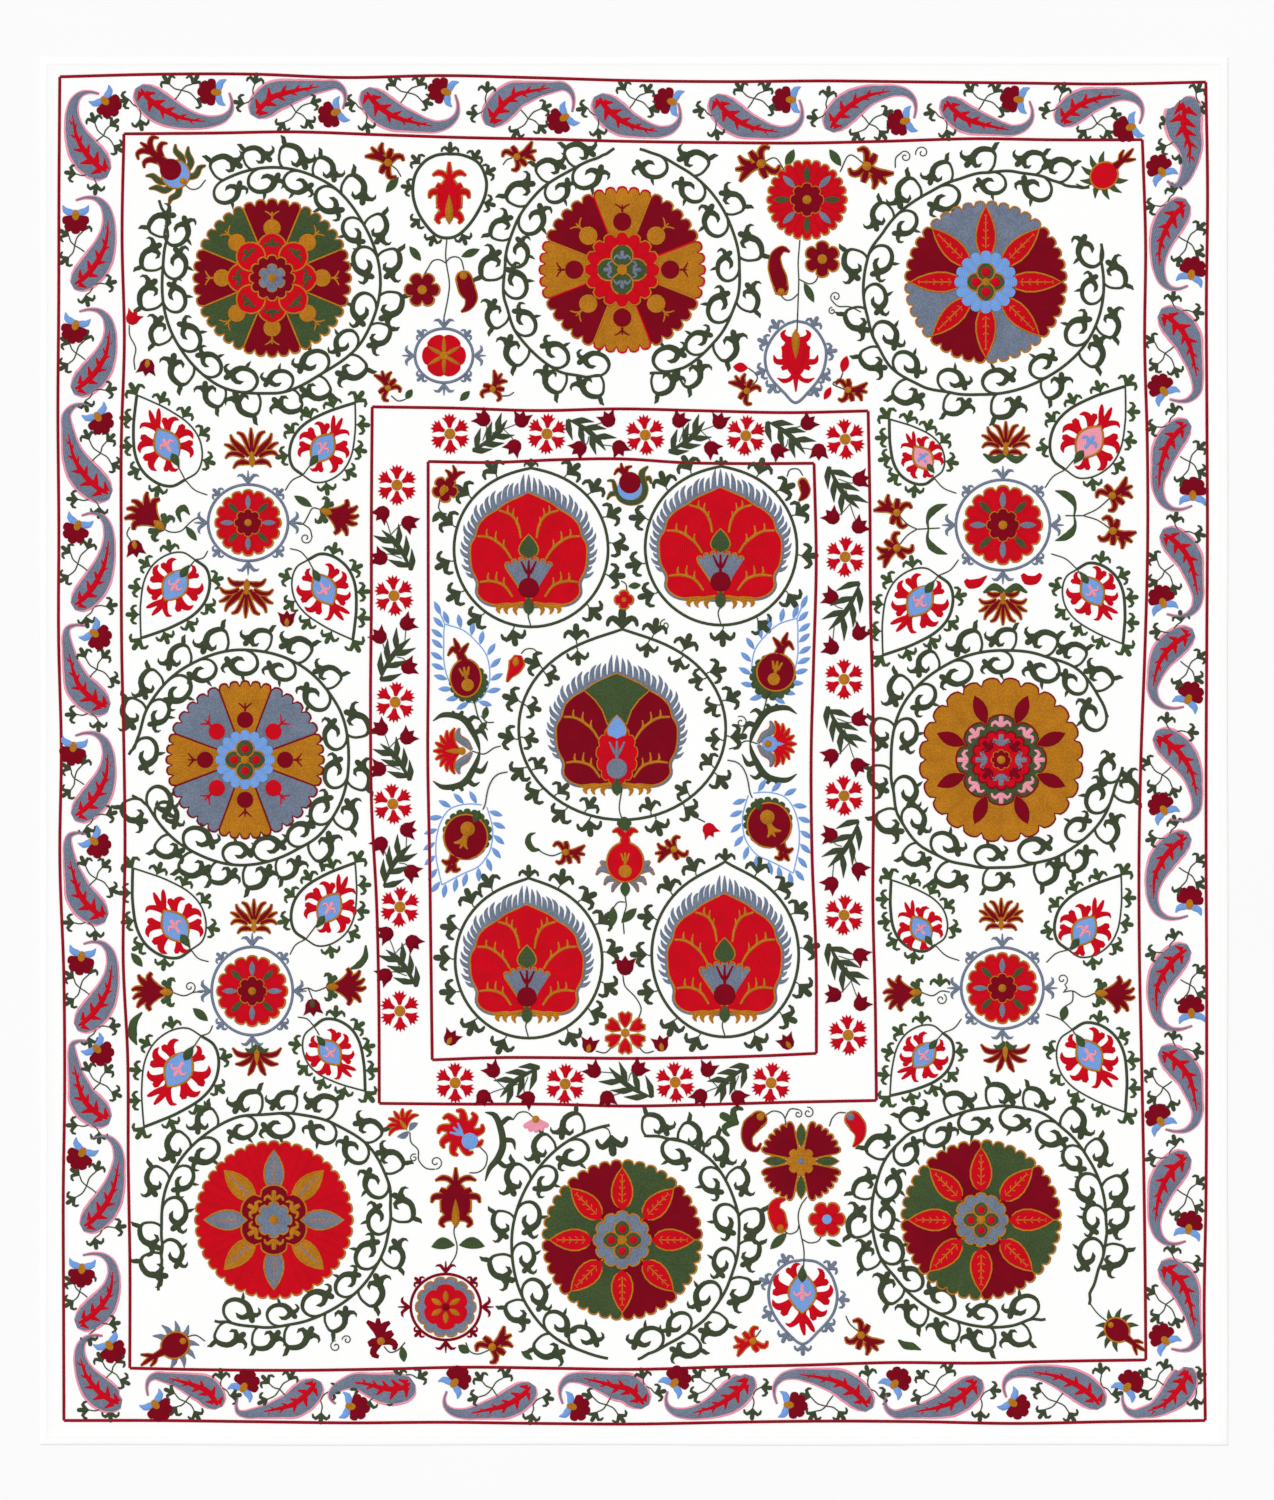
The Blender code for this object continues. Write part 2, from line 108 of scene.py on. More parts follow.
# Each thread: its colour, how far its shade wanders, a second colour twisted in, how much of it shows,
# and the slot of the record that it belongs to
THREADS = {
    "red": ((0.640, 0.002, 0.012), 0.14, (0.48, 0.002, 0.009), 0.25, "thread_red"),
    "crimson": ((0.330, 0.004, 0.014), 0.14, (0.26, 0.004, 0.012), 0.25, "thread_red"),
    "maroon": ((0.225, 0.001, 0.011), 0.16, (0.15, 0.001, 0.008), 0.25, "thread_maroon"),
    "gold": ((0.530, 0.205, 0.012), 0.22, (0.34, 0.122, 0.010), 0.45, "thread_gold"),
    "green": ((0.063, 0.099, 0.036), 0.20, (0.032, 0.058, 0.022), 0.45, "thread_green"),
    "vine": ((0.056, 0.074, 0.037), 0.18, (0.032, 0.045, 0.024), 0.35, "thread_green"),
    "grey": ((0.195, 0.232, 0.315), 0.20, (0.112, 0.146, 0.215), 0.50, "thread_grey"),
    "sky": ((0.195, 0.385, 0.800), 0.10, (0.150, 0.290, 0.650), 0.30, "thread_grey"),
    "pink": ((0.940, 0.350, 0.450), 0.10, (0.820, 0.250, 0.340), 0.25, "thread_red"),
}
THREAD_ROUGHNESS = 0.72
THREAD_SHEEN = 0.01
BUMP_DEPTH = 0.0007

# How round a thread's rows and loops are, how far each row's loops are shifted from the last row's, how large
# its clouds of uneven tone and its twist are in metres, and how strongly and how darkly shade is painted
# between its rows
ROW_ROUNDNESS = 2.4
LOOP_ROUNDNESS = 1.6
ROW_SHIFT = 0.37
CLOUD_SIZE = 0.030
TWIST_SIZE = 0.0035
TWIST_RELIEF = 0.35
# Painted shade: how much and how dark the colour is made in the valleys between the rows of stitches
VALLEY_PAINTED_SHADE_SHARE = 0.42
VALLEY_PAINTED_SHADE_TONE = 0.35

# The cotton: the spacing of its weave and of its hem stitches in metres, and its colours and the floor's
WEAVE = 0.0022
HEM_STITCH = 0.006
COTTON = (0.93, 0.93, 0.925)
COTTON_SHADE = (0.89, 0.89, 0.885)
COTTON_SEAM = (0.80, 0.80, 0.79)
FLOOR = (0.90, 0.90, 0.90)
FLOOR_SHADE = (0.88, 0.88, 0.88)

# How much every surface shines
SHINE = 0.05

# The light. The sun's width, tilt and turn are in degrees
WORLD_LIGHT = 0.86
SUN_LIGHT = 1.05
SUN_WIDTH = 12
SUN_TILT = 48
SUN_TURN = -140


# Materials

def added(tree, kind, **sockets):
    """A shader node with its sockets set: a number is a value, and a socket of another node is a link."""
    node = tree.nodes.new(kind)
    for name, value in sockets.items():
        socket = node.inputs[int(name[1:])] if name[0] == "i" and name[1:].isdigit() else node.inputs[name]
        if isinstance(value, bpy.types.NodeSocket):
            tree.links.new(value, socket)
        else:
            socket.default_value = value
    return node


def sums(tree, operation, first, second=0.0):
    """One step of arithmetic in a shader."""
    node = added(tree, "ShaderNodeMath", i0=first, i1=second)
    node.operation = operation
    return node.outputs[0]


def mixed(tree, share, first, second):
    """A blend of two colours in a shader."""
    node = tree.nodes.new("ShaderNodeMix")
    node.data_type = "RGBA"
    for socket, value in ((0, share), (6, first), (7, second)):
        if isinstance(value, bpy.types.NodeSocket):
            tree.links.new(value, node.inputs[socket])
        else:
            node.inputs[socket].default_value = value
    return node.outputs[2]


def started(name, roughness):
    """A new material with its shader, its node tree, and the place on the cloth in metres."""
    material = bpy.data.materials.new(name)
    material.use_nodes = True
    tree = material.node_tree
    shader = tree.nodes["Principled BSDF"]
    shader.inputs["Roughness"].default_value = roughness
    shader.inputs["Specular IOR Level"].default_value = SHINE
    place = tree.nodes.new("ShaderNodeTexCoord").outputs["Object"]
    return material, tree, shader, place


def patchy(tree, place, size, detail=2.0):
    """Soft cloudy noise, from 0 to 1, with patches about that many metres across."""
    return added(tree, "ShaderNodeTexNoise", Vector=place, Scale=1 / size, Detail=detail).outputs[0]


def thread_material(name, colour, wander, second, share):
    """Chain stitch in rows along the piece's own stitch lines, each row a string of loops, with shade painted
    between rows.
    """
    material, tree, shader, place = started("thread_" + name, THREAD_ROUGHNESS)
    shader.inputs["Sheen Weight"].default_value = THREAD_SHEEN
    shader.inputs["Sheen Roughness"].default_value = 0.5
    lines = added(tree, "ShaderNodeSeparateXYZ", i0=tree.nodes.new("ShaderNodeUVMap").outputs[0])
    row = sums(tree, "DIVIDE", lines.outputs[1], ROW * MM)
    across = sums(tree, "ABSOLUTE", sums(tree, "SUBTRACT", sums(tree, "FRACT", row), 0.5))
    slope = sums(tree, "POWER", sums(tree, "MULTIPLY", across, 2.0), ROW_ROUNDNESS)
    ridge = sums(tree, "SUBTRACT", 1.0, slope)
    shift = sums(tree, "MULTIPLY", sums(tree, "FLOOR", row), ROW_SHIFT)
    link = sums(tree, "FRACT", sums(tree, "ADD", sums(tree, "DIVIDE", lines.outputs[0], LINK * MM), shift))
    loop = sums(tree, "POWER", sums(tree, "ABSOLUTE", sums(tree, "SUBTRACT", link, 0.5)), LOOP_ROUNDNESS)
    stitch = sums(tree, "MULTIPLY", ridge, sums(tree, "SUBTRACT", 1.0, loop))
    cloudy = patchy(tree, place, CLOUD_SIZE)
    yarn = patchy(tree, place, TWIST_SIZE, 3.0)
    twisted = sums(tree, "MULTIPLY", sums(tree, "GREATER_THAN", yarn, 0.5), share)
    threads = mixed(tree, twisted, (*colour, 1), (*second, 1))
    # Painted shade: the colour is darkened in the valleys between the rows of stitches
    depth = sums(tree, "MULTIPLY", sums(tree, "SUBTRACT", 1.0, stitch), VALLEY_PAINTED_SHADE_SHARE)
    valley_painted_shade_mix = mixed(tree, depth, threads, (*(VALLEY_PAINTED_SHADE_TONE * c for c in colour), 1))
    tone = sums(tree, "ADD", sums(tree, "MULTIPLY", sums(tree, "SUBTRACT", cloudy, 0.5), 2.2 * wander), 1.0)
    varied = tree.nodes.new("ShaderNodeHueSaturation")
    tree.links.new(tone, varied.inputs["Value"])
    tree.links.new(valley_painted_shade_mix, varied.inputs["Color"])
    tree.links.new(varied.outputs[0], shader.inputs["Base Color"])
    relief = sums(tree, "ADD", stitch, sums(tree, "MULTIPLY", yarn, TWIST_RELIEF))
    bump = added(tree, "ShaderNodeBump", Strength=0.8, Distance=BUMP_DEPTH, Height=relief)
    tree.links.new(bump.outputs[0], shader.inputs["Normal"])
    return material


def cotton_material():
    """Plain-woven white cotton, a little uneven, with a stitched line along its turned hem."""
    material, tree, shader, place = started("cotton", 0.88)
    axes = added(tree, "ShaderNodeSeparateXYZ", i0=place)
    warp = sums(tree, "SINE", sums(tree, "MULTIPLY", axes.outputs[0], 2 * math.pi / WEAVE))
    weft = sums(tree, "SINE", sums(tree, "MULTIPLY", axes.outputs[1], 2 * math.pi / WEAVE))
    weave = sums(tree, "MULTIPLY", warp, weft)
    slubs = patchy(tree, place, 0.006, 3.0)
    cloudy = patchy(tree, place, 0.25)
    from_side = sums(tree, "SUBTRACT", CLOTH_WIDTH / 2, sums(tree, "ABSOLUTE", axes.outputs[0]))
    from_end = sums(tree, "SUBTRACT", CLOTH_LENGTH / 2, sums(tree, "ABSOLUTE", axes.outputs[1]))
    from_edge = sums(tree, "MINIMUM", from_side, from_end)
    near_seam = sums(tree, "ABSOLUTE", sums(tree, "SUBTRACT", from_edge, HEM_WIDTH - 0.001))
    seam = sums(tree, "LESS_THAN", near_seam, 0.0006)
    along = sums(tree, "ADD", axes.outputs[0], axes.outputs[1])
    dashes = sums(tree, "SINE", sums(tree, "MULTIPLY", along, 2 * math.pi / HEM_STITCH))
    stitches = sums(tree, "MULTIPLY", seam, sums(tree, "GREATER_THAN", dashes, -0.2))
    white = mixed(tree, sums(tree, "MULTIPLY", cloudy, 0.5), (*COTTON, 1), (*COTTON_SHADE, 1))
    sewn = mixed(tree, sums(tree, "MULTIPLY", stitches, 0.5), white, (*COTTON_SEAM, 1))
    tree.links.new(sewn, shader.inputs["Base Color"])
    threads = sums(tree, "ADD", sums(tree, "MULTIPLY", weave, 0.3), sums(tree, "MULTIPLY", slubs, 0.7))
    relief = sums(tree, "SUBTRACT", threads, stitches)
    bump = added(tree, "ShaderNodeBump", Strength=0.5, Distance=0.0003, Height=relief)
    tree.links.new(bump.outputs[0], shader.inputs["Normal"])
    return material


def floor_material():
    """A pale studio floor with the faintest unevenness."""
    material, tree, shader, place = started("studio_floor", 0.9)
    cloudy = patchy(tree, place, 0.8)
    tree.links.new(mixed(tree, cloudy, (*FLOOR, 1), (*FLOOR_SHADE, 1)), shader.inputs["Base Color"])
    return material


MATERIALS = {name: thread_material(name, *row[:4]) for name, row in THREADS.items()}


# The cloth

def crease(x, y):
    """How far the cloth lifts at a place, in metres: it keeps soft waves from being folded away."""
    wave = noise.noise(Vector((x / CREASE_SIZE, y / CREASE_SIZE, 3.7)))
    fine = noise.noise(Vector((x * 3 / CREASE_SIZE, y * 3 / CREASE_SIZE, 9.1)))
    edge = min(CLOTH_WIDTH / 2 - abs(x), CLOTH_LENGTH / 2 - abs(y))
    settled = min(1.0, max(edge, 0) / CREASE_SETTLES)
    return CREASE_HEIGHT * settled * (0.5 + 0.5 * wave + 0.2 * fine)


def face(x, y):
    """The height of the cloth's face at a place given in millimetres, in millimetres."""
    return (CLOTH_THICKNESS + crease(x * MM, y * MM)) / MM


def grid_stops(length):
    """Where a side's grid lines run: close together over the hem and even between."""
    half = length / 2
    hem = [0, HEM_STEP / 4, HEM_STEP, HEM_WIDTH - HEM_STEP, HEM_WIDTH]
    inner = half - HEM_WIDTH
    count = round(2 * inner / GRID_STEP)
    middle = [-inner + 2 * inner * i / count for i in range(1, count)]
    return [-half + stop for stop in hem] + middle + [half - stop for stop in reversed(hem)]


def hem_rise(x, y):
    """How far the turned hem and its rounded fold stand over the single cloth."""
    edge = min(CLOTH_WIDTH / 2 - abs(x), CLOTH_LENGTH / 2 - abs(y))
    if edge < HEM_STEP / 8:
        return -CLOTH_THICKNESS / 2
    if edge < HEM_STEP / 2:
        return 0.0
    return HEM_RISE if edge < HEM_WIDTH - HEM_STEP / 2 else 0.0


def wandered(x, y):
    """A place moved as the hand-cut edge wanders, most at the edges and not at all in the middle."""
    pull_x = EDGE_WANDER * (1 + math.sin(y * EDGE_WAVES_ALONG_Y + 1.0)) / 2 * (2 * x / CLOTH_WIDTH) ** 8
    pull_y = EDGE_WANDER * (1 + math.sin(x * EDGE_WAVES_ALONG_X + 2.5)) / 2 * (2 * y / CLOTH_LENGTH) ** 8
    return x - math.copysign(pull_x, x), y - math.copysign(pull_y, y)


def ground_sheet():
    """The cotton ground as one closed sheet, with its turned hem and soft creases."""
    columns = grid_stops(CLOTH_WIDTH)
    rows = grid_stops(CLOTH_LENGTH)
    across = len(columns)
    upper, lower = [], []
    for y in rows:
        for x in columns:
            lift = crease(x, y)
            seen_x, seen_y = wandered(x, y)
            upper.append((seen_x, seen_y, CLOTH_THICKNESS + lift + hem_rise(x, y)))
            lower.append((seen_x, seen_y, lift))
    count = len(upper)
    faces = []
    for j in range(len(rows) - 1):
        for i in range(across - 1):
            corner = j * across + i
            quad = (corner, corner + 1, corner + across + 1, corner + across)
            faces.append(quad)
            faces.append(tuple(count + v for v in reversed(quad)))
    last = (len(rows) - 1) * across
    rim = list(range(across)) + [j * across + across - 1 for j in range(1, len(rows))]
    rim += [last + i for i in reversed(range(across - 1))]
    rim += [j * across for j in reversed(range(1, len(rows) - 1))]
    for here, there in zip(rim, rim[1:] + rim[:1]):
        faces.append((here, count + here, count + there, there))
    mesh = bpy.data.meshes.new("ground")
    mesh.from_pydata(upper + lower, [], faces)
    mesh.shade_smooth()
    mesh.materials.append(cotton_material())
    sheet = bpy.data.objects.new("ground", mesh)
    bpy.context.scene.collection.objects.link(sheet)
    return sheet


# Drawing on the cloth

class Place:
    """Where a motif lies, which way it points, and how large it is. It gives places inside itself."""

    def __init__(self, x, y, angle=0.0, size=1.0, flip=1):
        turn = math.radians(angle)
        self.origin = Vector((x, y))
        self.along = Vector((math.cos(turn), math.sin(turn))) * size
        self.across = Vector((-math.sin(turn), math.cos(turn))) * size * flip

    def spot(self, along, across=0.0):
        """The place on the cloth of a point given along and across this place."""
        return self.origin + self.along * along + self.across * across

    def inside(self, along, across=0.0, angle=0.0, size=1.0, flip=1):
        """A place within this one, turned, sized and mirrored against it."""
        turn = math.radians(angle)
        found = Place(0, 0)
        found.origin = self.spot(along, across)
        found.along = (self.along * math.cos(turn) + self.across * math.sin(turn)) * size
        found.across = (self.across * math.cos(turn) - self.along * math.sin(turn)) * size * flip
        return found

    def turned(self, angle, reach=0.0, size=1.0, flip=1):
        """A place that far out in the direction of the angle, pointing outwards."""
        turn = math.radians(angle)
        return self.inside(reach * math.cos(turn), reach * math.sin(turn), angle, size, flip)


# The cloth's own place, for points that are given from its middle
CLOTH = Place(0, 0)


def heading(way):
    """Which way a vector points, in degrees."""
    return math.degrees(math.atan2(way.y, way.x))


def smoothed(points, widths, step=STEP):
    """The points of a soft curve through those given, with the widths carried along."""
    count = len(points)
    found, found_widths = [], []
    for i in range(count - 1):
        p1, p2 = points[i], points[i + 1]
        p0 = points[i - 1] if i else p1 * 2 - p2
        p3 = points[i + 2] if i + 2 < count else p2 * 2 - p1
        pieces = max(1, round((p2 - p1).length / step))
        for k in range(pieces):
            t = k / pieces
            found.append(0.5 * (2 * p1 + (p2 - p0) * t + (2 * p0 - 5 * p1 + 4 * p2 - p3) * t * t
                                + (3 * p1 - p0 - 3 * p2 + p3) * t ** 3))
            found_widths.append(widths[i] + (widths[i + 1] - widths[i]) * t)
    return found + [points[-1]], found_widths + [widths[-1]]


class Work:
    """The stitching of one piece: it gathers fills and lines, and becomes one mesh."""

    def __init__(self, name):
        self.name = name
        self.points, self.faces, self.lines, self.threads = [], [], [], []

    def vertex(self, x, y, height):
        """A new point that stands that far over the cloth's face, and its number."""
        self.points.append((x * MM, y * MM, (face(x, y) + height) * MM))
        return len(self.points) - 1

    def polygon(self, corners, lines, thread):
        """A new face, where its corners lie on the rows of stitches, and its thread."""
        self.faces.append(corners)
        self.lines.extend(lines)
        self.threads.append(thread)

    def line(self, place, points, widths, thread, layer=0, step=STEP):
        """A line of stitches through points of the place. Widths are half widths, one or one a point."""
        if not hasattr(widths, "__len__"):
            widths = [widths] * len(points)
        scale = place.along.length
        spine, halves = smoothed([place.spot(*p) for p in points], [w * scale for w in widths], step)
        top = THREAD_HEIGHT + layer * LAYER_RISE
        profile = ((-1.0, 0.0), (-0.88, top - SHOULDER), (0.0, top), (0.88, top - SHOULDER), (1.0, 0.0))
        run = 0.0
        before = None
        for i, point in enumerate(spine):
            along = (spine[min(i + 1, len(spine) - 1)] - spine[max(i - 1, 0)]).normalized()
            across = Vector((-along.y, along.x))
            if i:
                run += (point - spine[i - 1]).length
            station = []
            for side, rise in profile:
                spot = point + across * (side * halves[i])
                end = LINE_END if i in (0, len(spine) - 1) else 1.0
                v = side * halves[i] + ROW / 2
                station.append((self.vertex(spot.x, spot.y, rise * end), (run * MM, v * MM)))
            if before:
                for a, b, c, d in zip(before, station, station[1:], before[1:]):
                    self.polygon((a[0], b[0], c[0], d[0]), (a[1], b[1], c[1], d[1]), thread)
            before = station

    def ring(self, place, outline, width, thread, layer=0):
        """A closed line of stitches round an outline."""
        spots = [place.spot(*p) for p in outline]
        self.line(CLOTH, spots + spots[:1], width, thread, layer, step=1000)

    def fill(self, place, outline, thread, layer=0, edge=None, edge_width=EDGE_HALF, small=False):
        """A filled shape, its rows of stitches running round inside its outline, and perhaps edged."""
        rim = [place.spot(*p) for p in outline]
        middle = sum(rim, Vector((0, 0))) / len(rim)
        turning = sum(a.x * b.y - b.x * a.y for a, b in zip(rim, rim[1:] + rim[:1]))
        if turning < 0:
            rim.reverse()
        reach = sum((p - middle).length for p in rim) / len(rim)
        top = THREAD_HEIGHT + layer * LAYER_RISE
        insets = [(0.0, 0.0), (EDGE_INSET, top - SHOULDER)]
        if not small:
            insets.append((CROWN_INSET, top))
            insets += [(CROWN_INSET + i * RING_STEP, top) for i in range(1, int(reach / RING_STEP))]
        count = len(rim)
        arc = [0.0]
        for a, b in zip(rim, rim[1:] + rim[:1]):
            arc.append(arc[-1] + (b - a).length)
        rings = []
        for inset, rise in insets:
            share = max(0.15, 1 - inset / reach)
            ring = []
            for p in rim:
                spot = middle + (p - middle) * share
                ring.append(self.vertex(spot.x, spot.y, rise))
            rings.append((ring, inset))
        for (outer, near), (inner, far) in zip(rings, rings[1:]):
            for i in range(count):
                j = (i + 1) % count
                lines = ((arc[i] * MM, near * MM), (arc[i + 1] * MM, near * MM),
                         (arc[i + 1] * MM, far * MM), (arc[i] * MM, far * MM))
                self.polygon((outer[i], outer[j], inner[j], inner[i]), lines, thread)
        hub = self.vertex(middle.x, middle.y, top)
        inner, far = rings[-1]
        for i in range(count):
            j = (i + 1) % count
            half = (arc[i] + arc[i + 1]) / 2
            lines = ((arc[i] * MM, far * MM), (arc[i + 1] * MM, far * MM), (half * MM, reach * MM))
            self.polygon((inner[i], inner[j], hub), lines, thread)
        if edge:
            self.ring(CLOTH, rim, edge_width, edge, layer + 1)

    def sector(self, place, near, far, half_angle, scallops, depth, thread, layer=0, edge=None):
        """A fan of stitching between two radii, its outer edge scalloped, and perhaps edged."""
        outline = fan(near, far, half_angle, scallops, depth)
        outer = outline[:scallops * SCALLOP_STEPS + 1]
        top = THREAD_HEIGHT + layer * LAYER_RISE
        stops = ((0.0, 0.0), (0.06, top), (0.35, top), (0.7, top), (0.96, top), (1.0, 0.0))
        columns = []
        for i, (x, y) in enumerate(outer):
            reach = math.hypot(x, y)
            border = i in (0, len(outer) - 1)
            column = []
            for share, rise in stops:
                out = near + (reach - near) * share
                spot = place.spot(x / reach * out, y / reach * out)
                lines = (out * MM, math.atan2(y, x) * far * MM)
                column.append((self.vertex(spot.x, spot.y, top * LINE_END if border else rise), lines))
            columns.append(column)
        for column, following in zip(columns, columns[1:]):
            for a, b, c, d in zip(column, column[1:], following[1:], following):
                self.polygon((a[0], b[0], c[0], d[0]), (a[1], b[1], c[1], d[1]), thread)
        if edge:
            self.ring(place, outline, EDGE_HALF, edge, layer + 1)

    def made(self, main, *nodes):
        """The finished piece: one mesh that rides on the cloth and stands for the solids named."""
        mesh = bpy.data.meshes.new(self.name)
        mesh.from_pydata(self.points, [], self.faces)
        used = sorted(set(self.threads))
        for thread in used:
            mesh.materials.append(MATERIALS[thread])
        index = {thread: i for i, thread in enumerate(used)}
        mesh.polygons.foreach_set("material_index", [index[t] for t in self.threads])
        lines = mesh.uv_layers.new(name="stitch_lines")
        lines.data.foreach_set("uv", [value for pair in self.lines for value in pair])
        mesh.shade_smooth()
        piece = bpy.data.objects.new(self.name, mesh)
        bpy.context.scene.collection.objects.link(piece)
        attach(piece, "root")
        if nodes:
            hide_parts(*nodes)
        return piece


def edged_line(work, place, points, widths, thread, edge, layer=0, rim=1.5):
    """A thick stroke in one thread with a rim of another."""
    work.line(place, points, [w + rim for w in widths], edge, layer)
    work.line(place, points, widths, thread, layer + 2)


def drawn(work, place, stroke, thread, rim="gold", layer=0, size=1.0, side=1, width=1.9, step=STEP):
    """One stroke of a table, along the place or mirrored across it, rimmed with another thread or plain."""
    points = [(size * along, size * side * across) for along, across, half in stroke]
    halves = [size * half for along, across, half in stroke]
    if rim:
        edged_line(work, place, points, halves, thread, rim, layer, width)
    else:
        work.line(place, points, halves, thread, layer, step)


# Outlines, each drawn round the place (0, 0) or outwards from it along +X

def fullness(i, steps):
    """How far out a round lobe stands at a step of its outline, from 0 to 1."""
    share = (i % steps) / steps
    return math.sqrt(max(0.0, 1 - (2 * share - 1) ** 2))


def lobed(radius, lobes, depth, steps=6, start=0.0):
    """A round outline of full lobes. The start is where a lobe points."""
    found = []
    for i in range(lobes * steps):
        reach = radius * (1 - depth + depth * fullness(i, steps))
        angle = math.radians(start) + 2 * math.pi * (i / steps - 0.5) / lobes
        found.append((reach * math.cos(angle), reach * math.sin(angle)))
    return found


def circle(radius, steps=14):
    """A round outline."""
    return [(radius * math.cos(2 * math.pi * i / steps), radius * math.sin(2 * math.pi * i / steps))
            for i in range(steps)]


def leaf(near, far, half_width, belly=0.5, steps=6, lean=0.0):
    """A pointed leaf from near to far, widest at that part of its length, its midrib bowed by the lean."""
    sides = []
    for side in (-1, 1):
        row = []
        for i in range(1, steps):
            t = i / steps
            bent = t ** (math.log(0.5) / math.log(belly))
            half = half_width * math.sin(math.pi * bent) ** 0.85
            row.append((near + (far - near) * t, side * half + lean * math.sin(math.pi * t)))
        sides.append(row)
    return [(near, 0.0)] + sides[0] + [(far, 0.0)] + sides[1][::-1]


def fan(near, far, half_angle, scallops, depth):
    """A sector between two radii, with a scalloped outer edge."""
    found = []
    half = math.radians(half_angle)
    for i in range(scallops * SCALLOP_STEPS + 1):
        angle = -half + 2 * half * i / (scallops * SCALLOP_STEPS)
        reach = far - depth + depth * fullness(i, SCALLOP_STEPS)
        found.append((reach * math.cos(angle), reach * math.sin(angle)))
    for share in (1.0, 0.5, 0.0, -0.5, -1.0):
        found.append((near * math.cos(half * share), near * math.sin(half * share)))
    return found


# Small motifs

# A sprig's head in its own length: its middle lobe, then the lobe and the curling horn of one side.
# Columns: along, across, half width
SPRIG_MIDDLE = ((0.0, 0.0, 0.08), (0.36, 0.0, 0.15), (0.68, 0.0, 0.19), (0.88, 0.0, 0.16),
                (0.97, 0.0, 0.07))
SPRIG_SIDE = ((0.06, 0.0, 0.08), (0.36, 0.20, 0.16), (0.50, 0.44, 0.14), (0.38, 0.62, 0.11),
              (0.18, 0.67, 0.08), (0.11, 0.66, 0.03))


def trefoil(work, place, size, thread, layer=0):
    """A sprig's head: a round lobe between two arms that curl back, opening along the place."""
    for stroke, side in ((SPRIG_MIDDLE, 1), (SPRIG_SIDE, -1), (SPRIG_SIDE, 1)):
        drawn(work, place, stroke, thread, None, layer, size, side, step=5.0)


def fruit(work, place, body, thread, layer, crown=2.15, spread=0.95, prong=1.7):
    """A round fruit with a stalk and a three-pronged crown along the place."""
    work.fill(place, circle(body), thread, layer)
    stalk = ((0.8 * body, 0), (1.4 * body, 0), (crown * body, 0))
    work.line(place, stalk, (2.6, 1.1 * prong, 0.6 * prong), thread, layer)
    for side in (-1, 1):
        bend, tip = (1.62 * body, side * 0.34 * spread * body), (crown * 0.97 * body, side * spread * body)
        work.line(place, ((1.25 * body, 0), bend, tip), (prong, prong, prong * 0.5), thread, layer)


# The eight large rosettes

def rosette_fans(work, place, radius, threads, edges, half_angles):
    """Eight scalloped fans round a rosette, in two threads by turns."""
    for kind in (1, 0):
        for i in range(kind, 8, 2):
            layer = 2 * (1 - kind)
            work.sector(place.turned(45 * i), radius * 0.3, radius, half_angles[kind], 5, radius * 0.07,
                        threads[kind], layer, edges[kind])


def eyed_petals(work, place, reach, petal, eye, heart):
    """Four green petals, each with a red eye, about a gold heart."""
    for i in range(4):
        spot = place.turned(90 * i, reach)
        work.fill(spot, petal, "green", 8 + i % 2, edge="gold")
        work.fill(spot, eye, "red", 10, small=True)
    work.fill(place, circle(heart, 10), "gold", 12, small=True)


def veined_leaves(work, place, outline, near, far, reach):
    """Eight red leaves, each with a barbed gold midrib."""
    for i in range(8):
        spot = place.turned(45 * i)
        work.fill(spot, outline, "red", 4, edge="gold")
        barbed(work, spot, near, far, reach, "gold", 6)


def barbed(work, place, near, far, reach, thread, layer, count=5):
    """A midrib with short barbs that slope outwards along it."""
    work.line(place, ((near, 0), ((near + far) / 2, 0), (far, 0)), (0.9, 1.1, 0.6), thread, layer)
    for i in range(count):
        along = near + (far - near) * (i + 0.3) / count
        for side in (-1, 1):
            points = ((along, 0), (along + reach * 0.9, side * reach * (1 - 0.6 * i / count)))
            work.line(place, points, (0.9, 0.5), thread, layer)


def rosette_nw():
    """Maroon and green fans by turns with small gold fruit, and eight red rounds about a maroon heart."""
    work = Work("rosette_nw_work")
    place = Place(-615, 804, 0)
    rosette_fans(work, place, 134.3, ("maroon", "green"), ("gold", "gold"), (22.5, 22.5))
    for i in range(8):
        fruit(work, place.turned(45 * i, 85), 15.3, "gold", 5, crown=2.0)
    for i in range(8):
        work.fill(place.turned(45 * i, 51), circle(24.6, 20), "red", 6 + i % 2, edge="gold")
    for i in range(8):
        trefoil(work, place.turned(45 * i, 49.3), 19.6, "green", 13)
    work.fill(place, lobed(39.1, 12, 0.16, 5), "maroon", 12, edge="gold")
    work.fill(place, lobed(23.8, 6, 0.30, 6, 30), "grey", 14, edge="gold", edge_width=0.8)
    work.fill(place, circle(7.6, 10), "gold", 16, small=True)
    return work.made("maroon", "rosette_nw")


def rosette_n():
    """Gold and maroon fans by turns, small fruit on them, and four green petals on red."""
    work = Work("rosette_n_work")
    place = Place(-20, 818, 0)
    rosette_fans(work, place, 141.1, ("gold", "maroon"), ("red", "gold"), (21.5, 23.5))
    for i in range(8):
        thread = ("maroon", "gold")[i % 2]
        fruit(work, place.turned(45 * i, 81.6), 16.1, thread, 5, crown=2.0)
    work.fill(place, lobed(64.6, 16, 0.14, 5), "red", 6, edge="gold")
    for i in range(4):
        spot = place.turned(90 * i, 23.8)
        work.fill(spot, circle(18.7), "green", 8 + i % 2, edge="gold")
        trefoil(work, spot.inside(-10.2), 20.4, "grey", 15)
    work.fill(place, circle(8.5, 10), "gold", 17, edge="gold", edge_width=0.8)
    return work.made("maroon", "rosette_n")


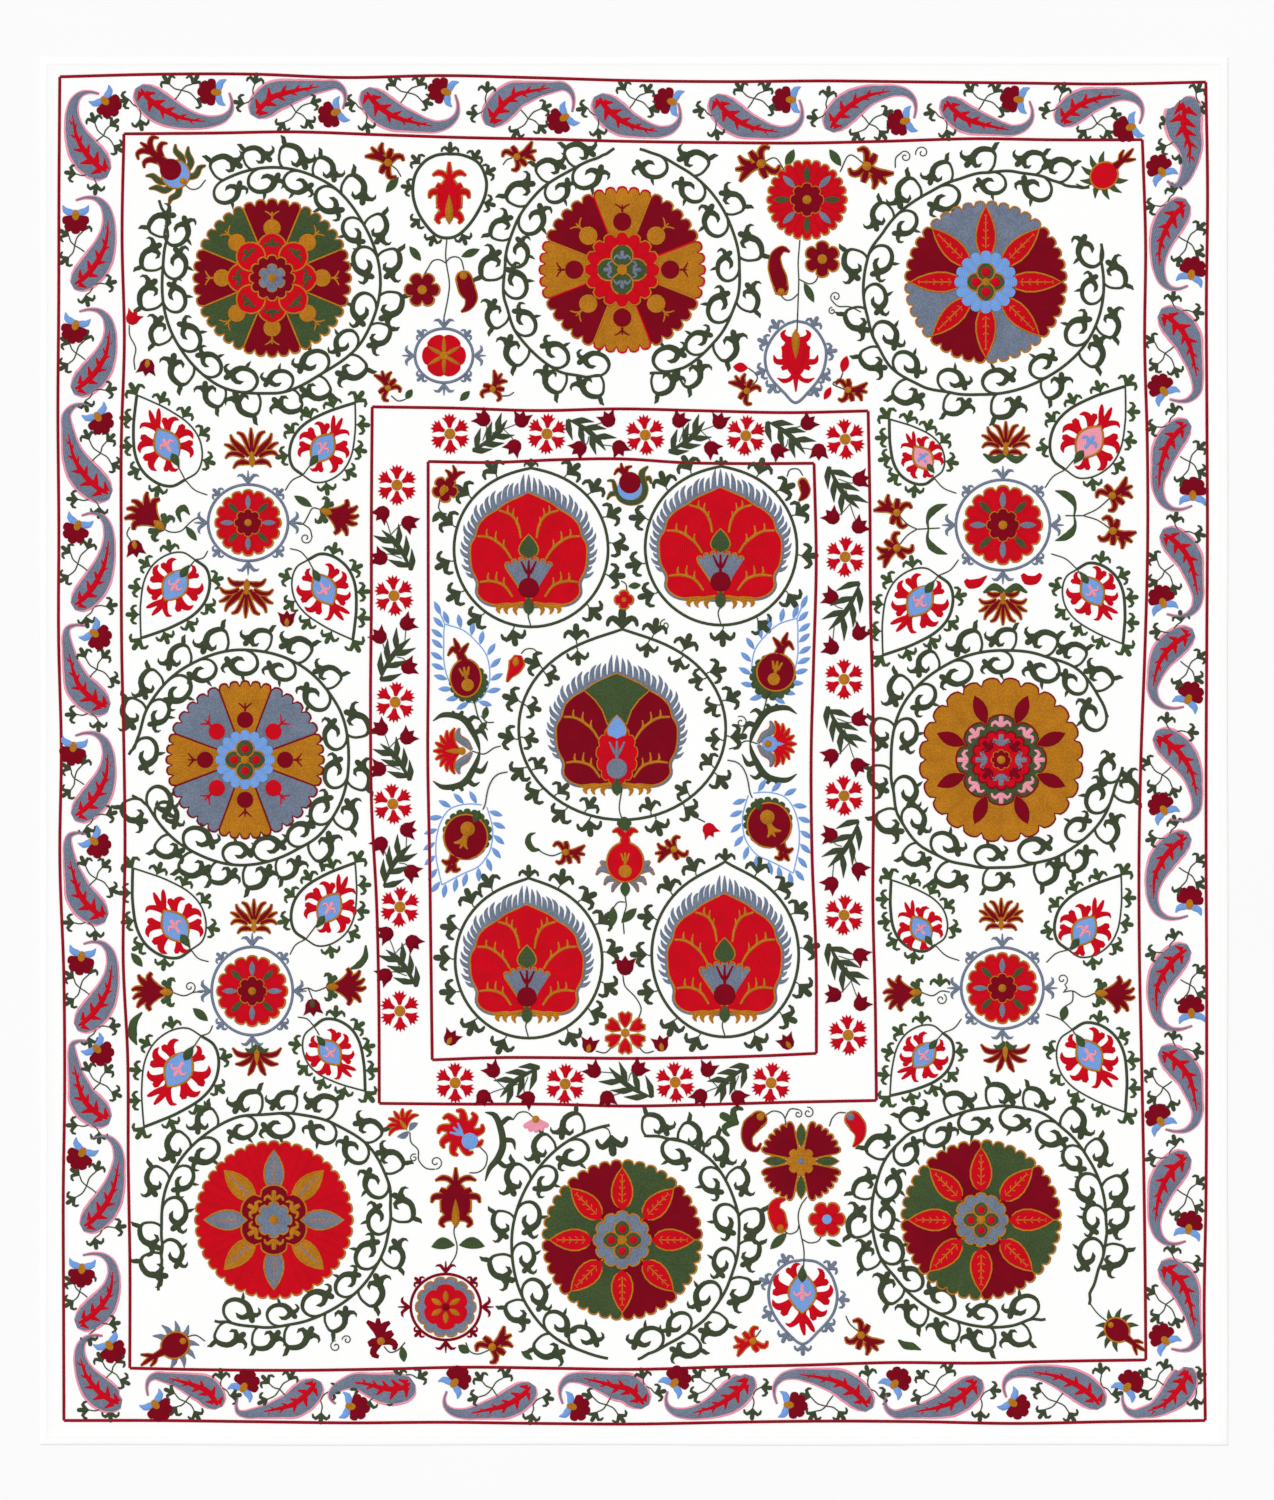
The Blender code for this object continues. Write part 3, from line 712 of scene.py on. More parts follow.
def rosette_ne():
    """Maroon and grey fans behind eight veined red leaves, with eyed petals on light blue."""
    work = Work("rosette_ne_work")
    place = Place(598, 797, 0)
    for i, thread in enumerate(("maroon", "grey", "grey", "maroon", "grey", "maroon", "grey", "maroon")):
        work.sector(place.turned(45 * i + 22.5), 40.8, 137.7, 22.5, 5, 8.5, thread, i % 2, "gold")
    veined_leaves(work, place, leaf(37.4, 129.2, 17, 0.42), 54.4, 119, 8.5)
    work.fill(place, lobed(52.7, 16, 0.14, 5), "sky", 6, edge="sky", edge_width=0.8)
    eyed_petals(work, place, 17, circle(15.3), circle(8.5, 10), 7.6)
    return work.made("maroon", "rosette_ne")


def rosette_w():
    """Gold and grey fans by turns, small fruit on them, and eyed petals on light blue."""
    work = Work("rosette_w_work")
    place = Place(-661, -15, 0)
    rosette_fans(work, place, 134.3, ("gold", "grey"), ("maroon", "maroon"), (20.5, 24.5))
    for i in range(8):
        thread = ("maroon", "red")[i % 2]
        fruit(work, place.turned(45 * i, 68), 14.4, thread, 5, crown=2.2)
    work.fill(place, lobed(51, 16, 0.14, 5), "sky", 6)
    eyed_petals(work, place, 18.7, circle(15.3), circle(7.6, 10), 7.6)
    return work.made("grey", "rosette_w")


def rosette_e():
    """A gold round with maroon leaves, and rings of sprigs on green and on red."""
    work = Work("rosette_e_work")
    place = Place(624, -15, 0)
    work.fill(place, lobed(139.4, 24, 0.08, 6, 7.5), "gold", 0, edge="maroon")
    for i in range(8):
        work.fill(place.turned(45 * i + 22.5), leaf(64.6, 119, 11.9, 0.5), "maroon", 2)
    work.fill(place, lobed(76.5, 8, 0.18, 7), "green", 4, edge="maroon")
    for i in range(8):
        trefoil(work, place.turned(45 * i, 52.7), 23.8, "pink", 8)
    work.fill(place, lobed(51, 16, 0.12, 5), "red", 9, edge="maroon")
    for i in range(8):
        trefoil(work, place.turned(45 * i, 20.4), 25.5, ("grey", "maroon")[i % 2], 13)
    work.fill(place, lobed(17, 8, 0.2, 5), "maroon", 14, edge="gold", edge_width=0.8)
    work.fill(place, circle(7.6, 10), "gold", 16, small=True)
    return work.made("gold", "rosette_e")


def rosette_sw():
    """A red round with veined grey and gold leaves, and a six-lobed maroon heart."""
    work = Work("rosette_sw_work")
    place = Place(-612, -797, 0)
    work.fill(place, lobed(134.3, 40, 0.05, 5), "red", 0, edge="gold")
    for i in range(8):
        spot = place.turned(45 * i)
        work.fill(spot, leaf(44.2, 119, 17, 0.45), ("grey", "gold")[i % 2], 2, edge="gold")
        barbed(work, spot, 57.8, 108.8, 8.5, ("gold", "grey")[i % 2], 4, 4)
    work.fill(place, lobed(59.5, 6, 0.24, 8, 90), "maroon", 4, edge="gold")
    for i in range(6):
        trefoil(work, place.turned(60 * i + 90, 28.9), 23.8, "gold", 8)
    work.fill(place, lobed(30.6, 8, 0.2, 5), "grey", 9, edge="gold")
    work.fill(place, circle(8.5, 10), "gold", 11, small=True)
    return work.made("red", "rosette_sw")


def leafy_rosette(name, x, y, radius, middle):
    """A rosette of maroon and green fans by turns behind eight veined red leaves."""
    work = Work("rosette_" + name + "_work")
    place = Place(x, y)
    for i in range(8):
        thread = ("maroon", "green")[i % 2]
        work.sector(place.turned(45 * i + 22.5), middle * 0.9, radius, 22.5, 5, radius * 0.06,
                    thread, i % 2, "gold")
    outline = leaf(middle, radius * 0.91, radius * 0.135, 0.42)
    veined_leaves(work, place, outline, middle * 1.2, radius * 0.84, radius * 0.07)
    work.fill(place, lobed(middle, 12, 0.14, 5), "grey", 6, edge="gold")
    eyed_petals(work, place, middle * 0.38, circle(middle * 0.28, 12), circle(middle * 0.15, 8),
                middle * 0.18)
    return work.made("maroon", "rosette_" + name)


# The frame lines

# Corner places, then how far each side wanders outwards at evenly spaced places between its corners.
# Columns: name, north-west, north-east, south-east, south-west, north, east, south, west
FRAME_LINES = (
    (
        "line_outer",
        (-976, 1146), (972, 1137), (971, -1138), (-969, -1138),
        (5, 6, 1, 5, 2, -2, -3, -1, -2, -3, -4),
        (3, 1, 2, 3, 2, 1, 1, 2, 2, 1, -2),
        (0, 2, 4, 3, 5, 6, 3, 1, 2, 5, 2),
        (2, 3, 5, 4, 5, 1, 4, -2, -3, 0, 0),
    ),
    (
        "line_field",
        (-867, 1049), (864, 1039), (870, -1035), (-857, -1049),
        (2, 5, 1, -3, -5, -8, -9, -9, -5, 0, -1),
        (5, 3, 7, 7, 2, -5, -9, -9, -6, -3, -1),
        (4, 6, 5, 3, 6, 9, 6, 4, 1, 3, 1),
        (4, 1, 7, 8, 8, 5, 4, 8, 1, 1, -1),
    ),
    (
        "line_panel",
        (-445, 585), (398, 578), (412, -594), (-433, -599),
        (-1, -4, 0, -2, -4),
        (1, 0, 2, 1, -2, 0),
        (2, 3, 7, 5, 2),
        (3, 5, 8, 8, 1, -1),
    ),
    (
        "line_centre",
        (-350, 492), (306, 489), (310, -514), (-343, -525),
        (-1, 4, 6, 0, -1),
        (3, -2, -7, -6, 0),
        (-2, 0, 3, 4, 3),
        (1, 2, 4, 2, 1),
    ),
)
OUTWARDS = (Vector((0, 1)), Vector((1, 0)), Vector((0, -1)), Vector((-1, 0)))


def frame_sides(frame):
    """The sides of a frame line as points, each with its end corner."""
    corners, wanders = frame[:4], frame[4:]
    sides = []
    for side, wander in enumerate(wanders):
        start, end = Vector(corners[side]), Vector(corners[(side + 1) % 4])
        if side > 1:
            wander = wander[::-1]
        points = [start]
        for i, offset in enumerate(wander, 1):
            points.append(start.lerp(end, i / (len(wander) + 1)) + OUTWARDS[side] * offset)
        sides.append(points + [end])
    return sides


def frame_line(name, *frame):
    """One stitched frame line: four sides that wander as they are drawn by hand."""
    work = Work(name + "_work")
    for side, points in enumerate(frame_sides(frame)):
        work.line(CLOTH, points, FRAME_HALF, "crimson", side % 2, step=10.0)
    return work.made("crimson", name)


# The vines

# The vine round each rosette, an oval that wanders: its middle, half width and half height, then along
# it the angle and how far out it wanders
VINES = {
    "nw": (
        (-614, 797, 185, 192),
        ((145, 51), (150, 22), (158, 8), (175, 3), (210, 6), (240, 8), (270, -3), (300, -14),
         (330, -5), (360, -2), (390, -4), (420, 2), (450, 3), (478, 2)),
    ),
    "n_left": (
        (-19, 830, 200, 190),
        ((94, 5), (98, -3), (104, -8), (120, -12), (140, -8), (160, -5), (180, 0), (200, 12),
         (215, 20), (240, 22), (252, 14), (259, 5)),
    ),
    "n_right": (
        (-19, 830, 200, 190),
        ((283, 3), (292, 10), (300, 14), (320, 10), (340, 5), (360, -2), (380, -5), (420, -3),
         (435, 2), (442, 5)),
    ),
    "ne": (
        (595, 795, 205, 191),
        ((44, 44), (47, 31), (52, 20), (60, 14), (75, 5), (90, -3), (105, -10), (120, -14), (150, -10),
         (165, -2), (195, 2), (210, 8), (225, 15), (240, 10), (255, 2), (270, -2), (300, -3), (330, 0),
         (372, -2), (380, 7)),
    ),
    "w": (
        (-668, -13, 186, 182),
        ((199, 10), (203, -2), (208, -8), (240, -5), (270, -1), (300, -2), (315, 2), (330, 0),
         (360, -3), (390, 2), (420, 5), (450, 3), (480, -1), (510, -4), (525, -8), (533, -5), (538, 5)),
    ),
    "e": (
        (627, -13, 187, 182),
        ((22, 5), (30, 8), (50, 14), (70, 5), (90, 2), (120, 3), (150, 7), (180, 3), (195, 7),
         (210, 17), (225, 20), (240, 14), (255, 7), (270, 3), (285, 3), (300, 8), (330, 12), (345, 10),
         (356, 17)),
    ),
    "sw": (
        (-609, -799, 194, 182),
        ((240, 14), (247, 5), (262, 0), (280, -5), (300, -7), (330, -5), (350, -2), (365, 2),
         (380, 10), (400, 14), (420, 8), (440, 3), (455, 0), (470, 5), (490, 3), (520, 2), (540, 0),
         (552, 3), (560, 12), (566, 24), (572, 41)),
    ),
    "s_left": (
        (-14, -836, 192, 199),
        ((98, 3), (112, 2), (150, 0), (180, 2), (210, 5), (230, 5), (250, 0), (261, 0)),
    ),
    "s_right": (
        (-14, -836, 192, 199),
        ((276, 0), (283, -7), (295, -12), (305, -12), (320, -8), (340, -5), (360, 0), (375, 5),
         (400, 7), (415, 3), (430, -8), (440, -14)),
    ),
    "se": (
        (607, -792, 197, 188),
        ((317, 31), (322, 17), (335, 7), (350, 2), (360, -2), (390, -2), (410, 2), (425, 7), (440, 3),
         (455, -3), (470, -5), (485, -2), (495, 7), (510, 10), (525, 7), (560, 5), (575, -2),
         (600, -3), (640, 0), (650, -3), (657, 7)),
    ),
}

# Where scrolls leave each vine, by angle. The sign says which way their heads lie round the vine: 1 is
# anticlockwise. Columns: vine, direction, angles on the outer side, angles on the inner side
SCROLLS = (
    ("nw", -1,
     (13, 31, 51, 68, 85, 101, 117, 157, 172, 190, 207, 226, 245, 262, 281, 297, 318, 337, 353),
     (13, 32, 54, 76, 97, 118, 153, 171, 190, 212, 231, 253, 275, 298, 322, 346)),
    ("n_left", -1,
     (115, 131, 148, 167, 186, 206, 224, 244, 259),
     (112, 131, 153, 175, 193, 213, 235, 256)),
    ("n_right", 1,
     (285, 297, 317, 340, 363, 387, 412),
     (293, 311, 334, 357, 384, 408, 434)),
    ("ne", 1,
     (55, 66, 88, 107, 124, 142, 167, 193, 213, 233, 254, 276, 299, 322, 338, 360),
     (62, 85, 113, 140, 165, 188, 210, 228, 252, 277, 303, 330, 355, 378)),
    ("w", 1,
     (203, 227, 243, 257, 273, 290, 308, 327, 348, 373, 400, 420, 438, 458, 478, 496, 512),
     (207, 217, 243, 267, 285, 307, 327, 350, 373, 400, 426, 448, 472, 492, 510, 535)),
    ("e", 1,
     (37, 53, 68, 86, 102, 125, 142, 163, 186, 206, 225, 243, 263, 287, 303, 322, 342),
     (25, 47, 66, 92, 116, 141, 165, 198, 214, 237, 262, 287, 315, 337, 354)),
    ("sw", 1,
     (245, 261, 277, 297, 318, 340, 362, 385, 403, 425, 442, 459, 480, 497, 517, 543, 557),
     (248, 272, 295, 316, 337, 360, 382, 403, 423, 448, 468, 492, 513, 535, 558)),
    ("s_right", -1,
     (305, 322, 341, 359, 373, 391, 408, 422, 439),
     (285, 305, 328, 350, 374, 395, 420)),
    ("s_left", 1,
     (112, 128, 147, 168, 187, 209, 229),
     (120, 142, 166, 187, 207, 228, 245)),
    ("se", -1,
     (345, 363, 376, 396, 414, 433, 450, 470, 490, 510, 530, 546, 562, 581, 596, 613, 630, 645),
     (340, 360, 377, 397, 417, 438, 460, 482, 502, 522, 540, 560, 580, 600, 626, 650)),
)

# One scroll, from where it leaves the vine: its curling stem, the tip and the lobe of its head, its claw,
# and the small leaf on its back. Each stroke's columns: out from the vine, along it, half width
OUTER_SCROLL = (
    ((0, 0, 2.2), (4.2, -3.7, 1.9), (11.9, -7.5, 1.9), (22.1, -8.5, 1.9),
     (29.8, -7.5, 2.2), (34.9, -3.4, 3.1), (36.9, 3.4, 3.9),
     (36.7, 10.2, 4.2), (34.9, 17, 4.4), (30.6, 22.9, 4.6),
     (24.6, 26.3, 5.1), (19.6, 29.8, 4.4)),
    ((20.4, 25.5, 5.8), (18.2, 34, 5.1), (17.8, 39.1, 3.9),
     (20.7, 45.2, 2.9), (25.5, 47.3, 1.9), (30.6, 45.6, 0.5)),
    ((18.7, 27.2, 5.1), (11.9, 33.1, 4.8), (6.5, 35.7, 4.4),
     (3.1, 36.2, 2)),
    ((20.4, 28.1, 5.1), (12.8, 25.2, 4.4), (7.8, 20.9, 3.4),
     (9, 15.3, 2.5), (13.6, 11.9, 0.5)),
    ((34.9, -1.7, 3.2), (40.8, -4.8, 3.7), (46.8, -7.1, 3.1),
     (50.1, -11.9, 0.7)),
)
INNER_SCROLL = (
    ((0, 0, 2.2), (2.5, -10.2, 2), (9.3, -19.6, 2.2), (20.4, -23.8, 2.5),
     (29.8, -21.2, 3.1), (37.4, -12.8, 3.4), (39.9, -1.7, 3.7),
     (38.8, 8.5, 4.4), (33.1, 16.1, 5.1), (26.3, 21.2, 5.4)),
    ((27.2, 18.7, 5.4), (26.9, 26.3, 4.4), (29.8, 31.4, 3.4),
     (34.9, 34.3, 2.7), (39.1, 32, 1.9), (42, 27.7, 0.5)),
    ((26.3, 20.4, 5.1), (20.7, 26.5, 4.8), (17, 28.9, 4.2),
     (14.1, 29.4, 1.9)),
    ((27.2, 20.4, 5.1), (19.6, 16.1, 4.4), (15.3, 10.2, 3.7), (15.3, 4.2, 3.1),
     (18.4, -1.7, 0.5)),
    ((37.4, -3.4, 2.9), (42.5, -0.5, 3.1), (47.6, -2.2, 2.5),
     (54.4, -5.4, 0.5)),
)
OUTER_SIZE = 1.02
INNER_SIZE = 0.97
SCROLL_WEIGHT = 1.1
SIZE_SWING = 0.06
LEAN_SWING = 6


def vine_place(shape, wanders, angle):
    """The place on a vine at that angle, pointing straight out from it."""
    x, y, half_width, half_height = shape
    if angle < wanders[0][0]:
        angle += 360
    offset = wanders[-1][1] if angle >= wanders[-1][0] else wanders[0][1]
    for (near, near_offset), (far, far_offset) in zip(wanders, wanders[1:]):
        if near <= angle < far:
            part = (angle - near) / (far - near)
            offset = near_offset + (far_offset - near_offset) * part * part * (3 - 2 * part)
    turn = math.radians(angle)
    spot = Vector((x + (half_width + offset) * math.cos(turn), y + (half_height + offset) * math.sin(turn)))
    outwards = math.degrees(math.atan2(math.sin(turn) / half_height, math.cos(turn) / half_width))
    return Place(spot.x, spot.y, outwards)


def scroll(work, place, strokes, size, sway):
    """One curling leaf on its stem, each a little different from the next."""
    turned = place.inside(0, 0, LEAN_SWING * math.sin(sway), size * (1 + SIZE_SWING * math.sin(1.7 * sway)))
    for stroke in strokes:
        points = [(out, along) for out, along, half in stroke]
        work.line(turned, points, [SCROLL_WEIGHT * half for out, along, half in stroke], "vine", step=5.0)


def vine(name, pieces):
    """The vines round one rosette, with their scrolls."""
    work = Work("vine_" + name + "_work")
    for vine_name, direction, outer, inner in SCROLLS:
        if vine_name not in pieces:
            continue
        shape, wanders = VINES[vine_name]
        first, last = wanders[0][0], wanders[-1][0]
        count = round((last - first) / 2)
        spine = [vine_place(shape, wanders, first + (last - first) * i / count).origin
                 for i in range(count + 1)]
        work.line(CLOTH, spine, VINE_HALF, "vine", 1, step=9.0)
        for i, angle in enumerate(outer):
            spot = vine_place(shape, wanders, angle).inside(0, 0, flip=direction)
            scroll(work, spot, OUTER_SCROLL, OUTER_SIZE, i * 2.1)
        for i, angle in enumerate(inner):
            spot = vine_place(shape, wanders, angle).inside(0, 0, 180, flip=-direction)
            scroll(work, spot, INNER_SCROLL, INNER_SIZE, i * 1.7 + 1)
    return work.made("vine", *("vine_" + piece for piece in pieces))


# The border

# The paisleys, clockwise from the north-west. Each runs from the rim of its round head to the tip of its
# thin tail, and a flower hangs on the tail. It bulges to the cloth's edge, or to the field if below 0.
# Columns: head x, head y, tail x, tail y, bulge, girth, flower x, flower y
PAISLEYS = (
    (-841, 1130, -688, 1119, -52, 25, -717, 1120),
    (-645, 1078, -495, 1091, 50, 25, -513, 1083),
    (-457, 1125, -304, 1116, -57, 25, -326, 1122),
    (-246, 1062, -105, 1086, 55, 25, -124, 1073),
    (-61, 1115, 75, 1101, -52, 25, 58, 1105),
    (136, 1114, 281, 1107, -57, 25, 260, 1107),
    (332, 1054, 476, 1075, 53, 24, 454, 1069),
    (528, 1110, 672, 1105, -52, 23, 647, 1108),
    (723, 1064, 859, 1066, 50, 24, 838, 1058),
    (930, 1107, 906, 969, 32, 31, 894, 990),
    (942, 932, 942, 791, -50, 25, 949, 816),
    (893, 745, 910, 598, 55, 26, 897, 617),
    (944, 558, 949, 417, -57, 23, 950, 441),
    (896, 371, 905, 233, 57, 24, 897, 258),
    (952, 201, 935, 75, -58, 23, 945, 94),
    (884, 27, 910, -116, 55, 25, 897, -95),
    (945, -144, 942, -280, -61, 23, 945, -254),
    (944, -335, 949, -467, -61, 24, 947, -439),
    (893, -509, 903, -643, 58, 24, 892, -624),
    (944, -688, 938, -833, -54, 25, 944, -806),
    (893, -874, 913, -1016, 53, 25, 899, -997),
    (942, -1046, 830, -1093, 45, 25, 842, -1076),
    (794, -1116, 633, -1099, -48, 24, 649, -1112),
    (585, -1065, 430, -1091, 44, 24, 447, -1071),
    (400, -1120, 243, -1110, -55, 23, 270, -1112),
    (196, -1061, 57, -1088, 44, 25, 73, -1069),
    (19, -1115, -121, -1110, -50, 24, -99, -1116),
    (-173, -1076, -318, -1088, 42, 23, -301, -1069),
    (-376, -1071, -507, -1110, -29, 26, -475, -1115),
    (-539, -1069, -674, -1099, 40, 24, -660, -1076),
    (-706, -1117, -826, -1096, -44, 23, -809, -1116),
    (-871, -1110, -903, -994, 47, 25, -888, -1016),
    (-949, -974, -937, -857, -55, 24, -939, -887),
    (-939, -810, -924, -659, -52, 24, -941, -688),
    (-890, -627, -925, -494, 47, 25, -908, -511),
    (-949, -469, -936, -328, -52, 24, -940, -356),
    (-896, -284, -930, -141, 47, 25, -913, -158),
    (-954, -112, -950, 26, -57, 24, -954, 0),
    (-892, 73, -933, 213, 48, 25, -912, 196),
    (-954, 246, -939, 400, -50, 23, -948, 377),
    (-889, 435, -923, 587, 52, 26, -908, 562),
    (-955, 613, -943, 747, -55, 24, -951, 717),
    (-955, 791, -949, 936, -57, 24, -949, 904),
    (-892, 983, -909, 1117, 50, 27, -895, 1100),
)
# A paisley's middle line, as parts of the way and of its bulge, and its width along the way. Then the room
# it keeps from the lines, how full it is for its girth, and how far its rim stands out and its body in
PAISLEY_HANDLES = ((0.0, 0.0), (0.28, 1.3), (1.25, 1.4), (1.0, 0.0))
PAISLEY_SWELL = ((0.00, 0.30), (0.04, 0.70), (0.10, 0.92), (0.19, 1.00), (0.28, 0.92), (0.38, 0.70),
                 (0.48, 0.50), (0.58, 0.38), (0.70, 0.28), (0.82, 0.17), (0.92, 0.10), (1.00, 0.06))
PAISLEY_ROOM = 5.2
PAISLEY_FULLNESS = 1.12
PAISLEY_RIM = 0.6
PAISLEY_INSET = 1.2
# The fern in a paisley: where its midrib runs and its half widths, then how many barbs it has on a side,
# where the first one leaves and how far apart they are, as parts of the way, and how far out they reach
FERN_STOPS = (0.01, 0.10, 0.22, 0.34, 0.46, 0.64)
FERN_HALVES = (1.5, 4.8, 5.4, 4.8, 3.4, 0.8)
FERN_BARBS = 5
FERN_START = 0.06
FERN_SPACING = 0.115
FERN_REACH = 0.72
# The flower on a paisley's tail: its reach, how far it opens in degrees, and the steps of its outline
TAIL_FLOWER_REACH = 25.5
TAIL_FLOWER_OPENING = 216
TAIL_FLOWER_STEPS = 30
SPRIG_ROOM = 11.9
STRIPS = ("north", "east", "south", "west")
OUTER_SIDES = frame_sides(FRAME_LINES[0][1:])
FIELD_SIDES = frame_sides(FRAME_LINES[1][1:])


def reach_at(sides, side, spot):
    """How far out a frame line runs on one side of the cloth, level with a spot."""
    axis = 0 if OUTWARDS[side].x == 0 else 1
    points = sorted(sides[side], key=lambda point: point[axis])
    for near, far in zip(points, points[1:]):
        if spot[axis] <= far[axis] or far is points[-1]:
            part = (spot[axis] - near[axis]) / (far[axis] - near[axis])
            return near.lerp(far, part).dot(OUTWARDS[side])


def kept_clear(spot, radius, own_side):
    """The spot, moved so that a disc of that radius about it stays off both lines of the border."""
    room = PAISLEY_ROOM + radius
    for side, outwards in enumerate(OUTWARDS):
        beyond = spot.dot(outwards) - (reach_at(OUTER_SIDES, side, spot) - room)
        spot = spot - outwards * max(beyond, 0)
    short = reach_at(FIELD_SIDES, own_side, spot) + room - spot.dot(OUTWARDS[own_side])
    return spot + OUTWARDS[own_side] * max(short, 0)


def strip_of(spot):
    """The side of the border that a spot lies in."""
    return max(range(4), key=lambda side: (spot - FIELD_SIDES[side][0]).dot(OUTWARDS[side]))


def along_spine(spine, part):
    """The spot and the direction that part of the way along a line of points."""
    place = min(max(part, 0.0), 0.999) * (len(spine) - 1)
    i = int(place)
    return spine[i].lerp(spine[i + 1], place - i), (spine[i + 1] - spine[i]).normalized()


def share_at(part):
    """A paisley's swell at that part of its way."""
    for (near, first), (far, second) in zip(PAISLEY_SWELL, PAISLEY_SWELL[1:]):
        if part <= far:
            return first + (second - first) * (part - near) / (far - near)
    return PAISLEY_SWELL[-1][1]


def paisley(work, head, tail, bulge, girth, own_side):
    """One paisley: a grey body edged in pink, with a red fern from its head."""
    chord = tail - head
    sideways = Vector((-chord.y, chord.x)).normalized() * bulge
    handles = [head + chord * run + sideways * rise for run, rise in PAISLEY_HANDLES]
    spine = []
    for part, share in PAISLEY_SWELL:
        rest = 1 - part
        spot = (handles[0] * rest ** 3 + handles[1] * 3 * rest ** 2 * part
                + handles[2] * 3 * rest * part ** 2 + handles[3] * part ** 3)
        spine.append(kept_clear(spot, girth * share, own_side))
    halves = [girth * share for part, share in PAISLEY_SWELL]
    work.line(CLOTH, spine, [half + PAISLEY_RIM for half in halves], "pink", 0)
    work.line(CLOTH, spine, [max(half - PAISLEY_INSET, 1.0) for half in halves], "grey", 2)
    curve, _ = smoothed(spine, halves, 3.0)
    midrib = [along_spine(curve, part)[0] for part in FERN_STOPS]
    work.line(CLOTH, midrib, FERN_HALVES, "red", 4)
    for i in range(FERN_BARBS):
        part = FERN_START + FERN_SPACING * i
        for side in (-1, 1):
            spot, along = along_spine(curve, part + 0.02 * side)
            across = Vector((-along.y, along.x)) * side
            reach = FERN_REACH * girth * share_at(part + 0.06)
            tip = spot + across * reach + along * girth * 0.42
            bend = spot + across * reach * 0.46 + along * girth * 0.18
            work.line(CLOTH, (spot, bend, tip), (0.42 * reach, 0.20 * reach, 0.3), "red", 4)


def tail_flower(work, place, length):
    """The flower on a paisley's tail: a maroon fan with a gold heart between two light-blue sepals."""
    outline = []
    for i in range(TAIL_FLOWER_STEPS + 1):
        angle = math.radians(-TAIL_FLOWER_OPENING / 2 + TAIL_FLOWER_OPENING * i / TAIL_FLOWER_STEPS)
        reach = TAIL_FLOWER_REACH * (0.84 + 0.16 * fullness(i, 6)) * (0.9 + 0.1 * math.cos(angle))
        outline.append((length + reach * math.cos(angle), reach * math.sin(angle)))
    work.fill(place, outline + [(length - 6.8, 0)], "maroon", 1)
    for side in (-1, 1):
        points = ((length - 10.2, 0), (length - 11.9, side * 11), (length - 15.3, side * 17.8),
                  (length - 23.8, side * 22.1))
        work.line(place, points, (4.1, 6.1, 5.1, 0.7), "sky", 2)
    work.fill(place.inside(length - 6.8), [(u * 9.3, v * 6.5) for u, v in circle(1.0, 12)], "gold", 4)


def sprig_head(work, fork, head, size, own_side):
    """A sprig's head on its stem from the fork, kept off the lines of the border."""
    head.origin = kept_clear(head.origin, SPRIG_ROOM, own_side)
    sideways = Vector((fork.y - head.origin.y, head.origin.x - fork.x)) * 0.12
    work.line(CLOTH, (fork, (fork + head.origin) / 2 + sideways, head.origin), STEM_HALF, "vine")
    trefoil(work, head, size, "vine")


def chord_sprig(work, head, tail, side, own_side):
    """The sprig on the hollow side of a paisley: three heads on forked stems."""
    chord = tail - head
    place = Place(head.x, head.y, heading(chord), 1.0, side)
    size = chord.length
    fork = (0.47 * size, -0.01 * size)
    work.line(place, ((0.40 * size, -0.13 * size), (0.44 * size, -0.07 * size), fork), STEM_HALF, "vine")
    for along, across, angle in ((0.33, 0.10, 130), (0.58, 0.08, 60), (0.64, -0.10, -12)):
        spot = place.inside(along * size, across * size, angle)
        sprig_head(work, place.spot(*fork), spot, 20.4, own_side)


def gap_sprig(work, head, tail, side, own_side):
    """The sprig between two paisleys: two heads on one bent stem."""
    chord = tail - head
    place = Place(head.x, head.y, heading(chord), 1.0, side)
    middle = kept_clear(place.spot(1.7, 35.7), 5.1, own_side)
    for along, across, angle in ((-15.3, 23.8, 165), (5.1, 56.1, 75)):
        sprig_head(work, middle, place.inside(along, across, angle), 21.2, own_side)


def border():
    """The border's four strips, each with its paisleys, flowers and sprigs."""
    works = [Work("border_" + name + "_work") for name in STRIPS]
    for head_x, head_y, tail_x, tail_y, bulge, girth, flower_x, flower_y in PAISLEYS:
        head, tail = Vector((head_x, head_y)), Vector((tail_x, tail_y))
        own_side = strip_of((head + tail) / 2)
        work = works[own_side]
        paisley(work, head, tail, bulge, PAISLEY_FULLNESS * girth, own_side)
        towards = Vector((flower_x, flower_y)) - tail
        tail_flower(work, Place(tail.x, tail.y, heading(towards)), towards.length)
        side = 1 if bulge < 0 else -1
        chord_sprig(work, head, tail, side, own_side)
        gap_sprig(work, head, tail, -side, own_side)
    for work in works:
        work.made("grey")


# The groups at the sides

# Half of a shoot: its arm, which curls back. Columns: along, across, half width
SHOOT_ARM = ((0.05, 0.0, 0.06), (0.38, 0.18, 0.13), (0.66, 0.42, 0.13), (0.66, 0.66, 0.08),
             (0.54, 0.80, 0.02))


def shoot(work, place, size, thread, layer=0):
    """A shoot on a short stem, its middle straight and its arms curling back."""
    halves = (0.09 * size, 0.10 * size, 0.04 * size)
    work.line(place, ((0, 0), (0.45 * size, 0), (size, 0)), halves, thread, layer)
    for side in (-1, 1):
        drawn(work, place, SHOOT_ARM, thread, None, layer, size, side)


# How many shoots and sprigs stand on a stitched ring
RING_SPROUTS = 8


